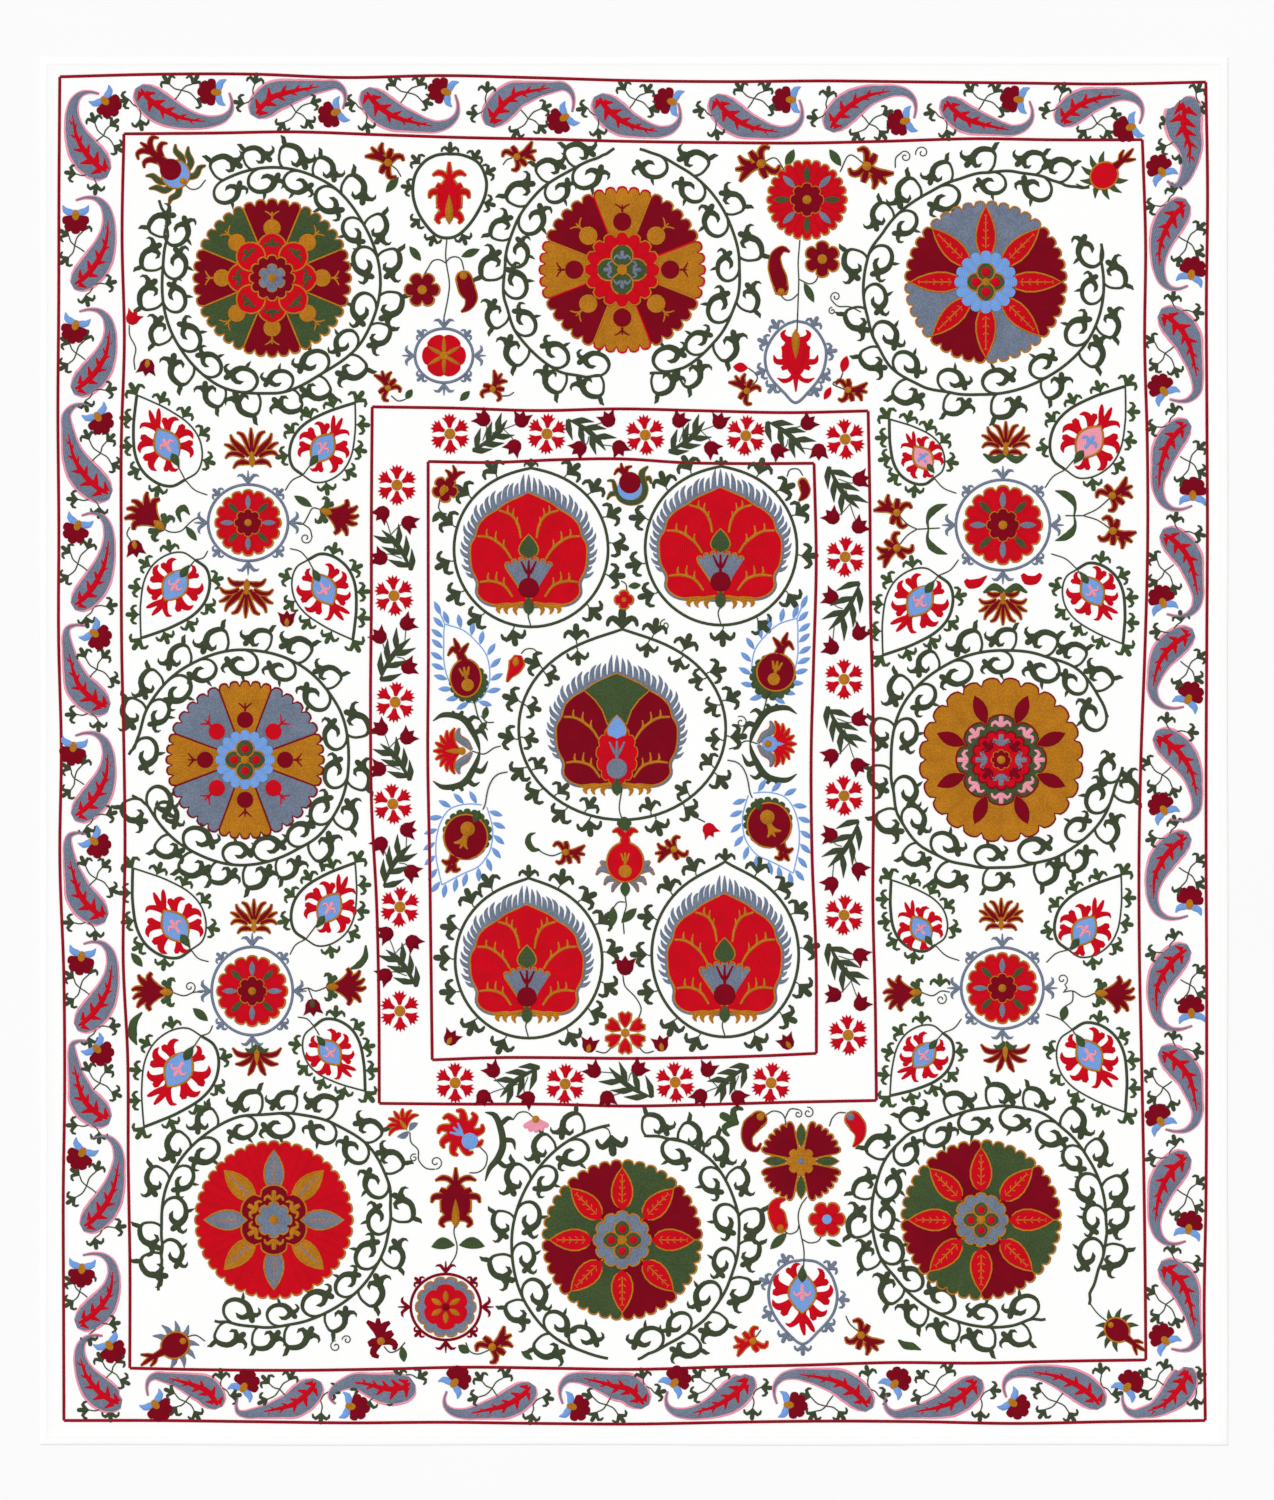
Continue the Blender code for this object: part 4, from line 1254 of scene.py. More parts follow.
def ringed(work, place, half_width, half_height, thread, start=0.0, size=23.8):
    """A stitched ring with shoots and sprigs by turns standing out from it."""
    outline = [(half_width * x, half_height * y) for x, y in circle(1.0, 48)]
    work.ring(place, outline, RING_HALF, thread)
    for i in range(RING_SPROUTS):
        angle = math.radians(start + 360 * i / RING_SPROUTS)
        out, aside = half_width * math.cos(angle), half_height * math.sin(angle)
        spot = place.inside(out, aside, math.degrees(angle))
        if i % 2:
            trefoil(work, spot, 0.72 * size, thread)
        else:
            shoot(work, spot, size, thread)


def barred_flower(work, place, radius, lobes=16, bars=("grey", "green")):
    """A red flower with eight bars in two threads, and a small maroon flower in its middle."""
    work.fill(place, lobed(radius, lobes, 0.12, 5), "red", 0, edge="gold")
    for i in range(8):
        bar = leaf(radius * 0.40, radius * 0.86, radius * 0.085, 0.5, 5)
        work.fill(place.turned(45 * i), bar, bars[i % 2], 2)
    work.fill(place, lobed(radius * 0.42, 8, 0.2, 5), "maroon", 3, edge="gold", edge_width=0.9)
    work.fill(place, circle(radius * 0.12, 10), "gold", 5, small=True)


# The cup of a carnation in the flower's own size, one side of it. Columns: along, across, half width
CARNATION_CUP = ((-0.15, 0.0, 0.08), (0.05, 0.22, 0.11), (-0.05, 0.42, 0.02))


def carnation(work, place, size, thread="maroon", edge="gold", heart="gold", cup=None, petals=6, spread=78):
    """A fan of split petals that curl outwards, seen from the side, opening along the place."""
    for i in range(petals):
        angle = -spread + 2 * spread * i / (petals - 1)
        turn = math.radians(angle)
        curl = math.radians(angle * 1.22)
        reach = size * (1.0 - 0.12 * abs(angle) / spread)
        points = ((0, 0), (0.45 * reach * math.cos(turn * 0.8), 0.45 * reach * math.sin(turn * 0.8)),
                  (0.78 * reach * math.cos(turn), 0.78 * reach * math.sin(turn)),
                  (reach * math.cos(curl), reach * math.sin(curl)))
        widths = (0.03 * size, 0.085 * size, 0.085 * size, 0.01 * size)
        edged_line(work, place, points, widths, thread, edge, i % 2)
    work.fill(place, leaf(-0.12 * size, 0.55 * size, 0.10 * size, 0.4), heart, 4)
    if cup:
        for side in (-1, 1):
            drawn(work, place, CARNATION_CUP, cup, None, 5, size, side)


# A fan flower in its own height: its middle petal, and the petals of one side from the top down.
# Columns: along, across, half width
FAN_MIDDLE = ((0.30, 0.0, 0.03), (0.60, 0.0, 0.055), (0.82, 0.0, 0.045), (1.02, 0.0, 0.005))
FAN_SIDE = (
    ((0.34, 0.03, 0.03), (0.62, 0.13, 0.045), (0.84, 0.24, 0.045), (0.90, 0.38, 0.01)),
    ((0.26, 0.08, 0.03), (0.44, 0.25, 0.085), (0.58, 0.39, 0.07), (0.72, 0.50, 0.035), (0.86, 0.54, 0.005)),
    ((0.34, 0.26, 0.07), (0.47, 0.46, 0.055), (0.56, 0.60, 0.035), (0.60, 0.72, 0.005)),
    ((0.26, 0.18, 0.05), (0.35, 0.42, 0.055), (0.33, 0.60, 0.04), (0.22, 0.70, 0.005)),
    ((0.08, 0.06, 0.03), (0.12, 0.24, 0.07), (0.08, 0.40, 0.045), (-0.05, 0.50, 0.005)),
)


def fan_flower(work, place, size):
    """A flower seen from the side: petals that fan out and curl from a gold heart."""
    for i, stroke in enumerate(FAN_SIDE):
        for side in (-1, 1):
            drawn(work, place, stroke, "maroon", "gold", 3 * (i % 2), size, side)
    drawn(work, place, FAN_MIDDLE, "maroon", "gold", 0, size)
    work.fill(place, leaf(-0.04 * size, 0.42 * size, 0.085 * size, 0.4), "gold", 4)


# A bud's outline in its own size
BUD_EDGE = ((-0.48, 0), (-0.42, -0.24), (-0.18, -0.42), (0.14, -0.46), (0.46, -0.60), (0.36, -0.36),
            (0.30, -0.18), (0.58, 0), (0.30, 0.18), (0.36, 0.36), (0.46, 0.60), (0.14, 0.46),
            (-0.18, 0.42), (-0.42, 0.24))


def bud(work, place, size, thread="maroon", heart="gold"):
    """A small three-pointed flower, along the place."""
    work.fill(place, [(x * size, y * size) for x, y in BUD_EDGE], thread, 1, small=True)
    if heart:
        work.fill(place, leaf(-0.5 * size, 0.1 * size, 0.16 * size, 0.5), heart, 3, small=True)


# A flame flower's almond, and the tufts of red that stand round it.
# Columns: angle from its tip, side, size
ALMOND_LENGTH = 28.1
ALMOND_WIDTH = 20.9
TUFTS = ((33, 1, 0.90), (80, 1, 1.0), (124, 1, 0.92), (52, -1, 1.0), (102, -1, 1.05), (156, -1, 0.78))
# One tuft's strokes. Columns: out, towards the foot, half width
TUFT_STROKES = (
    ((-1.7, 0, 5.1), (10.2, 0.8, 6.5), (18.7, 6, 5.4), (21.2, 12.8, 3.7),
     (18.7, 19.6, 0.7)),
    ((-1.7, 0, 5.1), (10.2, -2.5, 6.5), (17, -6.8, 6.1), (22.1, -7.6, 3.4)),
)
# Its plume. Columns: along, across, half width
PLUME = (
    ((20.4, 0, 7.1), (34, 0, 6), (45.9, 0, 4.9), (56.1, 1.7, 3.9),
     (64.6, 3.4, 1.5)),
    ((35.7, 1.7, 5.3), (45.9, 10.2, 4.4), (54.4, 15.3, 3.6), (59.5, 18.7, 1.4)),
    ((34, -1.7, 5.3), (44.2, -10.2, 4.4), (49.3, -18.7, 3.4), (45.9, -25.5, 0.7)),
)


def flame_flower(work, place, heart="sky", eye="pink"):
    """Red flames round an almond with an eye and a green foot, and a plume along the place."""
    for degrees, side, size in TUFTS:
        angle = math.radians(degrees)
        reach = 1 / math.hypot(math.cos(angle) / ALMOND_LENGTH, math.sin(angle) / ALMOND_WIDTH)
        out, aside = reach * math.cos(angle), side * reach * math.sin(angle)
        spot = place.inside(out, aside, side * degrees, size, side)
        for stroke in TUFT_STROKES:
            drawn(work, spot, stroke, "red", None)
    for stroke in PLUME:
        drawn(work, place, stroke, "red", None)
    almond = leaf(-1.1 * ALMOND_LENGTH, 1.1 * ALMOND_LENGTH, ALMOND_WIDTH, 0.5, 9)
    work.fill(place, almond, heart, 2, edge="gold", edge_width=2.0)
    if eye:
        work.line(place, ((-15.3, 0), (-6.8, 0), (0, 0)), 2.9, eye, 6)
        trefoil(work, place.inside(-5.1, 0), 18.7, eye, 8)
        work.fill(place, leaf(-42.5, -15.3, 7.1, 0.6), "green", 7, small=True)


# Half of a slim palmette, upright from the middle of its body. Columns: along, across, half width
SLIM_MIDDLE = ((11.9, 0, 7.6), (34, 0, 4.8), (47.6, 0, 4.1), (64.6, 0, 1.2))
SLIM_SIDE = (
    ((30.6, 0, 4.1), (42.5, 8.5, 3.7), (45.9, 18.7, 4.1), (40.8, 28.9, 0.8)),
    ((11.9, 1.7, 6.8), (20.4, 13.6, 5.8), (25.5, 22.1, 3.4)),
    ((8.5, 1.7, 6.8), (13.6, 20.4, 5.3), (11.9, 30.6, 4.6), (1.7, 34, 0.8)),
    ((-15.3, 1.7, 7.6), (-10.2, 15.3, 6.1), (-8.5, 22.1, 3.7)),
    ((-20.4, 1.7, 7.6), (-25.5, 15.3, 5.6), (-34, 20.4, 4.2), (-40.8, 15.3, 0.8)),
)


def slim_palmette(work, place, thread="red", rim="gold", spread=1.0):
    """A tall palmette of flames in pairs about a gold leaf."""
    work.fill(place, leaf(-34, 44.2, 22.1 * spread, 0.42), thread, 0, edge=rim)
    for stroke in SLIM_SIDE:
        for side in (-1, 1):
            drawn(work, place, stroke, thread, rim, 0, 1.0, side * spread)
    drawn(work, place, SLIM_MIDDLE, thread, rim)
    work.fill(place, leaf(-34, 34, 14.4 * spread, 0.45), thread, 4)
    work.fill(place, leaf(-42.5, 10.2, 7.1, 0.35), "gold", 6, small=True)


# How long a drop frame is that holds a flame flower of full size
FLAME_ROOM = 161.5
# Where sprigs stand on a drop frame, as parts of the way from its foot to its tip
SPRIG_STOPS = (0.10, 0.32, 0.56, 0.80)
# Half of a drop frame in its own length, from its foot to its tip. Columns: along, across
DROP_SHAPE = ((0.0, 0.0), (0.01, 0.15), (0.12, 0.27), (0.30, 0.335), (0.50, 0.31), (0.72, 0.20),
              (0.88, 0.09), (1.0, 0.0))


def drop_frame(work, tip_x, tip_y, foot_x, foot_y, flower_x, flower_y, heart, eye):
    """A pointed frame of two stems with sprigs round it, and the flame flower that it holds."""
    foot, tip = Vector((foot_x, foot_y)), Vector((tip_x, tip_y))
    axis = tip - foot
    angle = heading(axis)
    place = Place(foot.x, foot.y, angle)
    size = axis.length
    for side in (-1, 1):
        points = [(along * size, side * across * size) for along, across in DROP_SHAPE]
        halves = [RING_HALF * (0.62 + 0.45 * (side > 0))] * len(points)
        work.line(place, points, halves, "vine")
        for stop in SPRIG_STOPS:
            for (near, low), (far, high) in zip(DROP_SHAPE[1:], DROP_SHAPE[2:]):
                if near <= stop <= far:
                    across = low + (high - low) * (stop - near) / (far - near)
                    lean = math.degrees(math.atan2((far - near), -(high - low)))
            spot = place.inside(stop * size, side * across * size, side * lean)
            work.line(spot, ((0, 0), (6.8, 0)), STEM_HALF, "vine")
            trefoil(work, spot.inside(3.4), 22.9, "green")
    trefoil(work, place.inside(size, 0), 25.5, "green")
    flower = Vector((flower_x, flower_y))
    reach = flower - foot
    spot = Place(flower.x, flower.y, angle, size / FLAME_ROOM, 1 if axis.x > 0 else -1)
    flame_flower(work, spot, heart, eye)
    local = place.inside(0, 0, heading(reach) - angle)
    work.line(local, ((0, 0), (max(reach.length - 34, 1), 0)), STEM_HALF, "vine", 1)


# Each group's four drop frames. Columns: tip x, tip y, foot x, foot y, flower x, flower y, heart, eye
SIDE_GROUPS = {
    "w_upper": (
        (-845, 605, -763, 461, -794, 520, "sky", "pink"),
        (-474, 592, -563, 469, -529, 515, "sky", "pink"),
        (-838, 192, -746, 325, -780, 282, "sky", "pink"),
        (-478, 189, -554, 325, -527, 275, "sky", "pink"),
    ),
    "w_lower": (
        (-852, -199, -753, -338, -780, -298, "sky", "pink"),
        (-474, -190, -558, -320, -518, -267, "sky", "pink"),
        (-833, -639, -736, -484, -774, -541, "sky", "pink"),
        (-457, -578, -544, -468, -517, -512, "sky", "pink"),
    ),
    "e_upper": (
        (434, 564, 510, 464, 491, 498, "pink", "sky"),
        (835, 620, 733, 478, 774, 525, "pink", "sky"),
        (423, 163, 517, 298, 486, 255, "sky", "pink"),
        (831, 182, 753, 309, 779, 272, "sky", "pink"),
    ),
    "e_lower": (
        (437, -219, 512, -330, 488, -303, "sky", "pink"),
        (828, -211, 738, -338, 765, -306, "sky", "pink"),
        (435, -586, 525, -479, 493, -517, "sky", "pink"),
        (835, -614, 745, -474, 774, -517, "sky", "pink"),
    ),
}


def side_group(name, ring, flower):
    """The ringed flower of a group and the drop frames at its corners."""
    work = Work("group_" + name + "_work")
    x, y, half_width, half_height = ring
    ringed(work, Place(x, y), half_width, half_height, "grey")
    barred_flower(work, Place(x, y), flower)
    for tip_x, tip_y, foot_x, foot_y, flower_x, flower_y, heart, eye in SIDE_GROUPS[name]:
        drop_frame(work, tip_x, tip_y, foot_x, foot_y, flower_x, flower_y, heart, eye)
        out = Vector((foot_x - x, foot_y - y))
        place = Place(x, y, heading(out))
        near = (half_width + half_height) / 2 + 17
        bend = ((near + out.length) / 2, 5.1)
        work.line(place, ((near, 0), bend, (out.length, 0)), STEM_HALF, "vine")
    return work


# The panel's band

# Its red flowers, clockwise from the north-west corner
BAND_FLOWERS = (
    (-403, 452), (-313, 539), (-148, 539), (19, 537), (190, 536), (359, 530),
    (359, 330), (357, 122), (357, -76), (357, -279), (364, -483), (233, -564),
    (70, -563), (-117, -566), (-304, -564), (-398, -442), (-398, -265), (-410, -90),
    (-406, 83), (-408, 264),
)

# What grows between two of them, by turns, as parts of the way and how far to the left of it.
# Each row: three tulips, then the two ends of the branch
BAND_SPRAYS = (
    (((0.62, 25.5), (0.33, -23.8), (0.74, -22.1)), ((0.21, 25.5), (0.60, -27.2))),
    (((0.34, 25.5), (0.74, 23.8), (0.66, -22.1)), ((0.23, -27.2), (0.59, 23.8))),
)


# A ragged petal, outwards from the middle of its flower
RAGGED_PETAL = ((10.2, -2.5), (18.7, -5.4), (28.1, -12.9), (27.2, -7.5), (34, -7.5),
                (29.8, -2.4), (35.7, 0), (29.8, 2.4), (34, 7.5), (27.2, 7.5),
                (28.1, 12.9), (18.7, 5.4), (10.2, 2.5))
FEATHER_BARBS = 3


def star_flower(work, place):
    """Six ragged red petals round a gold eye."""
    for i in range(6):
        work.fill(place.turned(60 * i), RAGGED_PETAL, "red", 0, small=True)
    work.fill(place, circle(9.5, 12), "gold", 1)


def feather(work, place, length, sway):
    """A branch with long pointed leaves that slope back from its tip."""
    spine = [(length * t, sway * math.sin(math.pi * t)) for t in (0, 0.25, 0.5, 0.75, 1.0)]
    work.line(place, spine, (1.4, 3.2, 4.6, 5.2, 0.6), "vine", 0)
    for i in range(FEATHER_BARBS):
        for side in (-1, 1):
            t = 0.06 + 0.28 * i + 0.05 * side
            x, y = length * t, sway * math.sin(math.pi * t)
            reach = length * 0.34
            bend = (x + reach * 0.40, y + side * reach * 0.42)
            tip = (x + reach, y + side * reach * 0.80)
            work.line(place, ((x, y), bend, tip), (3.8, 5.6, 0.4), "vine", i % 2)


def band():
    """The band of flowers, branches and tulips between the two lines of the panel."""
    work = Work("band_work")
    for i, spot in enumerate(BAND_FLOWERS):
        star_flower(work, Place(*spot, 30 + 5 * math.sin(i * 2.7)))
        here, there = Vector(spot), Vector(BAND_FLOWERS[(i + 1) % len(BAND_FLOWERS)])
        way = there - here
        if abs(way.x) > 51 and abs(way.y) > 51:
            continue
        place = Place(*spot, heading(way))
        tulips, (start, end) = BAND_SPRAYS[i % 2]
        start, end = (Vector((part * way.length, aside)) for part, aside in (start, end))
        run = end - start
        feather(work, place.inside(*start, heading(run)), run.length, 6.8 * (1 - 2 * (i % 2)))
        for k, (part, aside) in enumerate(tulips):
            spot_angle = 90 * (1 if aside > 0 else -1) + 50 * math.sin(i * 1.3 + k * 2.1)
            head = place.inside(part * way.length, aside, spot_angle)
            bud(work, head, 28.1, "maroon", None)
            root = start.lerp(end, 0.3 + 0.25 * k)
            towards = Vector((part * way.length, aside))
            bend = root.lerp(towards, 0.6) + Vector((6.8, 0))
            work.line(place, (root, bend, towards), 0.8, "vine")
    return work.made("red")


# The great palmettes

# Half of a palmette's outline, in its own half sizes, from its top down its right side to its foot,
# and the three gold veins of that side
PALMETTE_EDGE = ((0.0, 0.99), (0.20, 0.90), (0.40, 0.80), (0.54, 0.69), (0.72, 0.58), (0.86, 0.42),
                 (0.91, 0.23), (0.99, 0.08), (1.0, -0.12), (0.97, -0.36), (0.87, -0.58), (0.88, -0.76),
                 (0.78, -0.90), (0.60, -0.97), (0.36, -0.95), (0.14, -0.99))
PALMETTE_VEINS = (
    ((0.54, 0.69), (0.30, 0.60), (0.18, 0.42), (0.13, 0.16)),
    ((0.91, 0.23), (0.66, 0.20), (0.42, 0.02), (0.28, -0.20)),
    ((0.87, -0.58), (0.64, -0.56), (0.42, -0.64), (0.26, -0.86)),
)
# Half of its crest's outline, for a palmette with a crest of another thread
CREST_EDGE = ((0.0, 0.99), (0.20, 0.90), (0.40, 0.80), (0.54, 0.69), (0.36, 0.52), (0.24, 0.34),
              (0.16, 0.10), (0.0, 0.05))
# The edge of its foot on one side, downwards
FOOT_EDGE = ((0.06, 0.93), (0.35, 0.99), (0.62, 1.0))
# The flames of its fringe: how many, how far round they go from the top in degrees, how tall they are and
# how much taller the top ones are
FRINGE_COUNT = 37
FRINGE_SPREAD = 122
FRINGE_HEIGHT = 18.7
FRINGE_CREST = 8.5
# The threads of a palmette's body and crest, and of its flower, the fruit on that and the bud
RED_PALMETTE = ("red", "red", "grey", "maroon", "green")
MAROON_PALMETTE = ("maroon", "green", "red", "grey", "sky")


def flame_fringe(work, place, half_width, half_height):
    """Grey flames that lean up all round a palmette, tallest at its top."""
    for i in range(FRINGE_COUNT):
        share = -1 + 2 * i / (FRINGE_COUNT - 1)
        angle = math.radians(90 - share * FRINGE_SPREAD)
        side = 1 if share > 0 else -1
        wobble = 1 + 0.18 * math.sin(i * 2.3)
        tall = FRINGE_HEIGHT * wobble + FRINGE_CREST * max(0.0, 1 - abs(share) * 9)
        x, y = half_width * 0.90 * math.cos(angle), half_height * 0.88 * math.sin(angle)
        swing = side * min(1.0, abs(share) * 4)
        first, last = angle + 0.55 * swing, angle + 1.15 * swing
        lift = 0.65 * tall + 10.2
        bend = (x + lift * math.cos(first), y + lift * math.sin(first))
        tip = (bend[0] + 0.6 * tall * math.cos(last), bend[1] + 0.6 * tall * math.sin(last))
        work.line(place, ((x, y), bend, tip), (5.4, 3.6, 0.5), "grey", 0)


def palmette_vein(work, place, vein, side, half_width, half_height):
    """One gold vein of a palmette with three curling shoots."""
    points = [(side * half_width * u, half_height * v) for u, v in vein]
    work.line(place, points, (2.0, 2.6, 2.6, 2.0), "gold", 3)
    for part, reach in ((0.28, 0.13), (0.50, 0.17), (0.70, 0.15)):
        k = int(part * 3)
        (u, v), (u2, v2) = points[k], points[k + 1]
        along = part * 3 - k
        root = (u + (u2 - u) * along, v + (v2 - v) * along)
        tip = (root[0] + side * reach * 0.05 * half_width, root[1] + 1.4 * reach * half_height)
        bend = (root[0] + side * reach * 0.18 * half_width, root[1] + 0.5 * reach * half_height)
        work.line(place, (root, bend, tip), (2.6, 2.3, 0.6), "gold", 3)


def palmette_foot(work, place, half_width, half_height):
    """The gold curls along a palmette's lower edge and the green leaf between them."""
    for side in (-1, 1):
        edge = [(side * half_width * u, -half_height * v) for u, v in FOOT_EDGE]
        work.line(place, edge, (2.4, 4.2, 1.0), "gold", 5)
        for along in (0.17, 0.33, 0.46):
            start = (side * half_width * along, -half_height * 0.96)
            bend = (side * half_width * (along + 0.07), -half_height * 1.06)
            hook = (side * half_width * (along + 0.03), -half_height * (1.18 - 0.12 * along))
            work.line(place, (start, bend, hook), (4.2, 4.0, 0.8), "gold", 5)
    work.fill(place.inside(0, -1.0 * half_height, 90), leaf(-15.3, 15.3, 9.3, 0.45), "green", 8)


def palmette_flower(work, place, half_height, petals_thread, fruit_thread, bud_thread):
    """The flower inside a palmette: a fan or a round of petals, a fruit on it and a bud over the fruit."""
    foot = place.inside(0, -0.62 * half_height, 90)
    flower = half_height * 0.50
    if petals_thread == "grey":
        root = foot.inside(-flower * 0.62)
        work.sector(root, flower * 0.15, flower * 1.60, 34, 7, flower * 0.17, "grey", 4, "gold")
    else:
        petals = [(u * 1.35, v * 0.92) for u, v in lobed(flower * 0.80, 13, 0.12, 5)]
        work.fill(foot.inside(flower * 0.34), petals, petals_thread, 4, edge="gold", edge_width=0.9)
    heart = foot.inside(-flower * 0.12)
    fruit(work, heart, half_height * 0.185, fruit_thread, 7, crown=2.8, spread=0.8, prong=2.8)
    tip = place.inside(0, -0.16 * half_height, 90)
    bud_shape = leaf(0, 0.42 * half_height, 0.175 * half_height, 0.34)
    work.fill(tip, bud_shape, bud_thread, 6, edge="gold", edge_width=1.4)


def palmette(name, x, y, half_width, half_height, threads, ring):
    """A great palmette with its veins, inner flower and fringe, and the sprigged ring that holds it."""
    work = Work("palmette_" + name + "_work")
    body, crest, *flower_threads = threads
    place = Place(x, y, 0)
    right = [Vector((half_width * u, half_height * v)) for u, v in PALMETTE_EDGE]
    edge, _ = smoothed(right, [1] * len(right), 6.0)
    outline = edge + [(-p.x, p.y) for p in reversed(edge[1:])]
    flame_fringe(work, place, half_width, half_height)
    work.ring(place, [(u * 1.012, v * 1.012) for u, v in outline], 3.4, "grey")
    work.fill(place, outline, body, 1, edge="gold", edge_width=1.5)
    for vein in PALMETTE_VEINS if crest == body else PALMETTE_VEINS[1:]:
        for side in (-1, 1):
            palmette_vein(work, place, vein, side, half_width, half_height)
    if crest != body:
        half = [(half_width * u, half_height * v) for u, v in CREST_EDGE]
        whole = half + [(-u, v) for u, v in reversed(half[1:-1])]
        work.fill(place, whole, crest, 3, edge="gold", edge_width=1.5)
    palmette_flower(work, place, half_height, *flower_threads)
    palmette_foot(work, place, half_width, half_height)
    sprigged_ring(work, name, half_height, *ring)
    return work.made(body, "palmette_" + name, "ogive_" + name)


# Where sprigs stand round each palmette's ring, by angle, outside it and inside it
RING_SPRIGS = {
    "nw": ((-45, -19, 4, 23, 43, 64, 115, 139, 163, 188, 211, 233, 257), ()),
    "ne": ((-89, -63, -34, -6, 23, 44, 62, 112, 133, 159, 191, 214), ()),
    "centre": ((-72, -55, -29, -5, 17, 36, 55, 73, 115, 139, 163, 186, 204, 220, 238, 252),
               (-73, -48, -25, -7, 16, 35, 54, 75, 117, 141, 165, 186, 208, 229, 249)),
    "sw": ((-60, -38, -16, 6, 27, 48, 66, 118, 136, 156, 178, 202, 226, 252), ()),
    "se": ((-68, -44, -20, 4, 28, 48, 66, 112, 134, 155, 180, 205, 229, 250), ()),
}
RING_TIP_SPREAD = 0.22
# The size of a sprig outside the ring and inside it, the length of its stem and how far it sways in degrees
RING_SPRIG_OUTSIDE = 29.8
RING_SPRIG_INSIDE = 26.3
RING_SPRIG_STEM = 8.5
RING_SPRIG_SWAY = 25


def sprigged_ring(work, name, drop, x, y, half_width, half_height, tip, crest):
    """The green ring round a palmette, drawn up to a point, with its stem and sprigs."""
    place = Place(x, y)

    def rim(degrees):
        """The place on the ring at an angle."""
        angle = math.radians(degrees)
        apart = abs(math.remainder(angle - math.pi / 2, 2 * math.pi))
        point = tip * math.exp(-apart / RING_TIP_SPREAD)
        return half_width * math.cos(angle), half_height * math.sin(angle) + point

    work.ring(place, [rim(5 * i) for i in range(72)], VINE_HALF, "vine")
    work.line(place, (rim(-90), (-5.1, -half_height + 20.4), (0, -drop - 3.4)), STEM_HALF, "vine")
    outside, inside = RING_SPRIGS[name]
    for angles, outward, size in ((outside, 1, RING_SPRIG_OUTSIDE), (inside, -1, RING_SPRIG_INSIDE)):
        for i, degrees in enumerate(angles):
            u, v = rim(degrees)
            facing = degrees if outward > 0 else degrees + 180
            spot = place.inside(u, v, facing)
            work.line(spot, ((0, 0), (RING_SPRIG_STEM * 0.5, 1.7), (RING_SPRIG_STEM, 0)), STEM_HALF, "vine")
            sway = RING_SPRIG_SWAY * math.sin(i * 2.2)
            trefoil(work, spot.inside(RING_SPRIG_STEM, 0, sway), size, "vine")
    work.line(place, (rim(90), (0, half_height + tip + 6.8)), (2.5, 1.5), "vine")
    trefoil(work, place.inside(0, half_height + tip, 90), crest, "vine")


# The small motifs

def facing(start, end):
    """A place at the start that points to the end, and how far apart they are."""
    way = Vector(end) - Vector(start)
    return Place(*start, heading(way)), way.length


def stem(work, *points):
    """A thin stem through places on the cloth."""
    work.line(CLOTH, points, STEM_HALF, "vine")


def blade(work, start, end, half, thread="green", lean=0.0):
    """A pointed leaf between two places on the cloth."""
    place, length = facing(start, end)
    work.fill(place, leaf(0, length, half, 0.5, 7, lean), thread, 0)


# A tendril's points, the turn from one to the next in radians, and how far each one draws in
CURL_POINTS = 15
CURL_TURN = 0.55
CURL_DRAW = 0.058


def curled(work, x, y, radius, start, turn):
    """A tendril that winds in to its middle from the angle at which it starts."""
    points = []
    for i in range(CURL_POINTS):
        angle = math.radians(start) + turn * CURL_TURN * i
        reach = radius * (1 - CURL_DRAW * i)
        points.append((x + reach * math.cos(angle), y + reach * math.sin(angle)))
    work.line(CLOTH, points, 1.0, "vine")


def petalled(work, x, y, radius, thread, heart, petals=6, start=90):
    """A flower of round petals about a plain heart."""
    work.fill(Place(x, y), lobed(radius, petals, 0.36, 8, start), thread, 0, edge="gold")
    work.fill(Place(x, y), circle(radius * 0.29, 8), heart, 2)


def pepper(work, spots, thread, cap="gold"):
    """A drop with a bent tail and a cap on its round head. Columns of a spot: x, y, half width"""
    (top_x, top_y, _), (x, y, half) = spots[:2]
    drawn(work, CLOTH, spots, thread, width=1.5)
    work.fill(Place(x, y), circle(half, 14), thread, 3, edge="gold")
    drawn(work, CLOTH, spots[1:], thread, thread, 3, width=0)
    if cap:
        work.fill(Place((top_x + x) / 2, (top_y + y) / 2), circle(0.52 * half, 10), cap, 6, small=True)


# A lily: its great petal with three tips, then on each side a short round petal and one that curls back.
# Columns: along, across, half width
LILY = (
    ((3.4, 0, 4.4), (15.3, 1.7, 5.4), (25.5, 8.5, 4.1), (34, 16.1, 0.8)),
    ((11.9, 0, 4.4), (24.6, 0, 3.6), (35.7, -1.7, 0.8)),
    ((11.9, -1.7, 4.4), (22.1, -8.5, 3.9), (26.3, -18.7, 0.8)),
    ((1.7, 1.7, 3.1), (0, 11.9, 4.8), (-1.7, 20.4, 2.4)),
    ((-1.7, 1.7, 3.1), (-11.9, 13.6, 3.7), (-18.7, 14.4, 3.1), (-23.8, 7.6, 0.8)),
    ((1.7, -1.7, 3.1), (6.8, -11.9, 4.8), (10.2, -20.4, 2.4)),
    ((-1.7, -1.7, 3.1), (-3.4, -15.3, 3.7), (-10.2, -20.4, 3.1), (-17, -17, 0.8)),
)


def lily(work, x, y, angle, size=1.0, thread="maroon", edge="gold"):
    """A flower seen from the side, its split petals curling out of a gold bulb."""
    place = Place(x, y, angle, 1.1 * size)
    for stroke in LILY:
        drawn(work, place, stroke, thread, edge)
    work.fill(place, circle(6.5, 10), "gold", 4, small=True)


# The corners

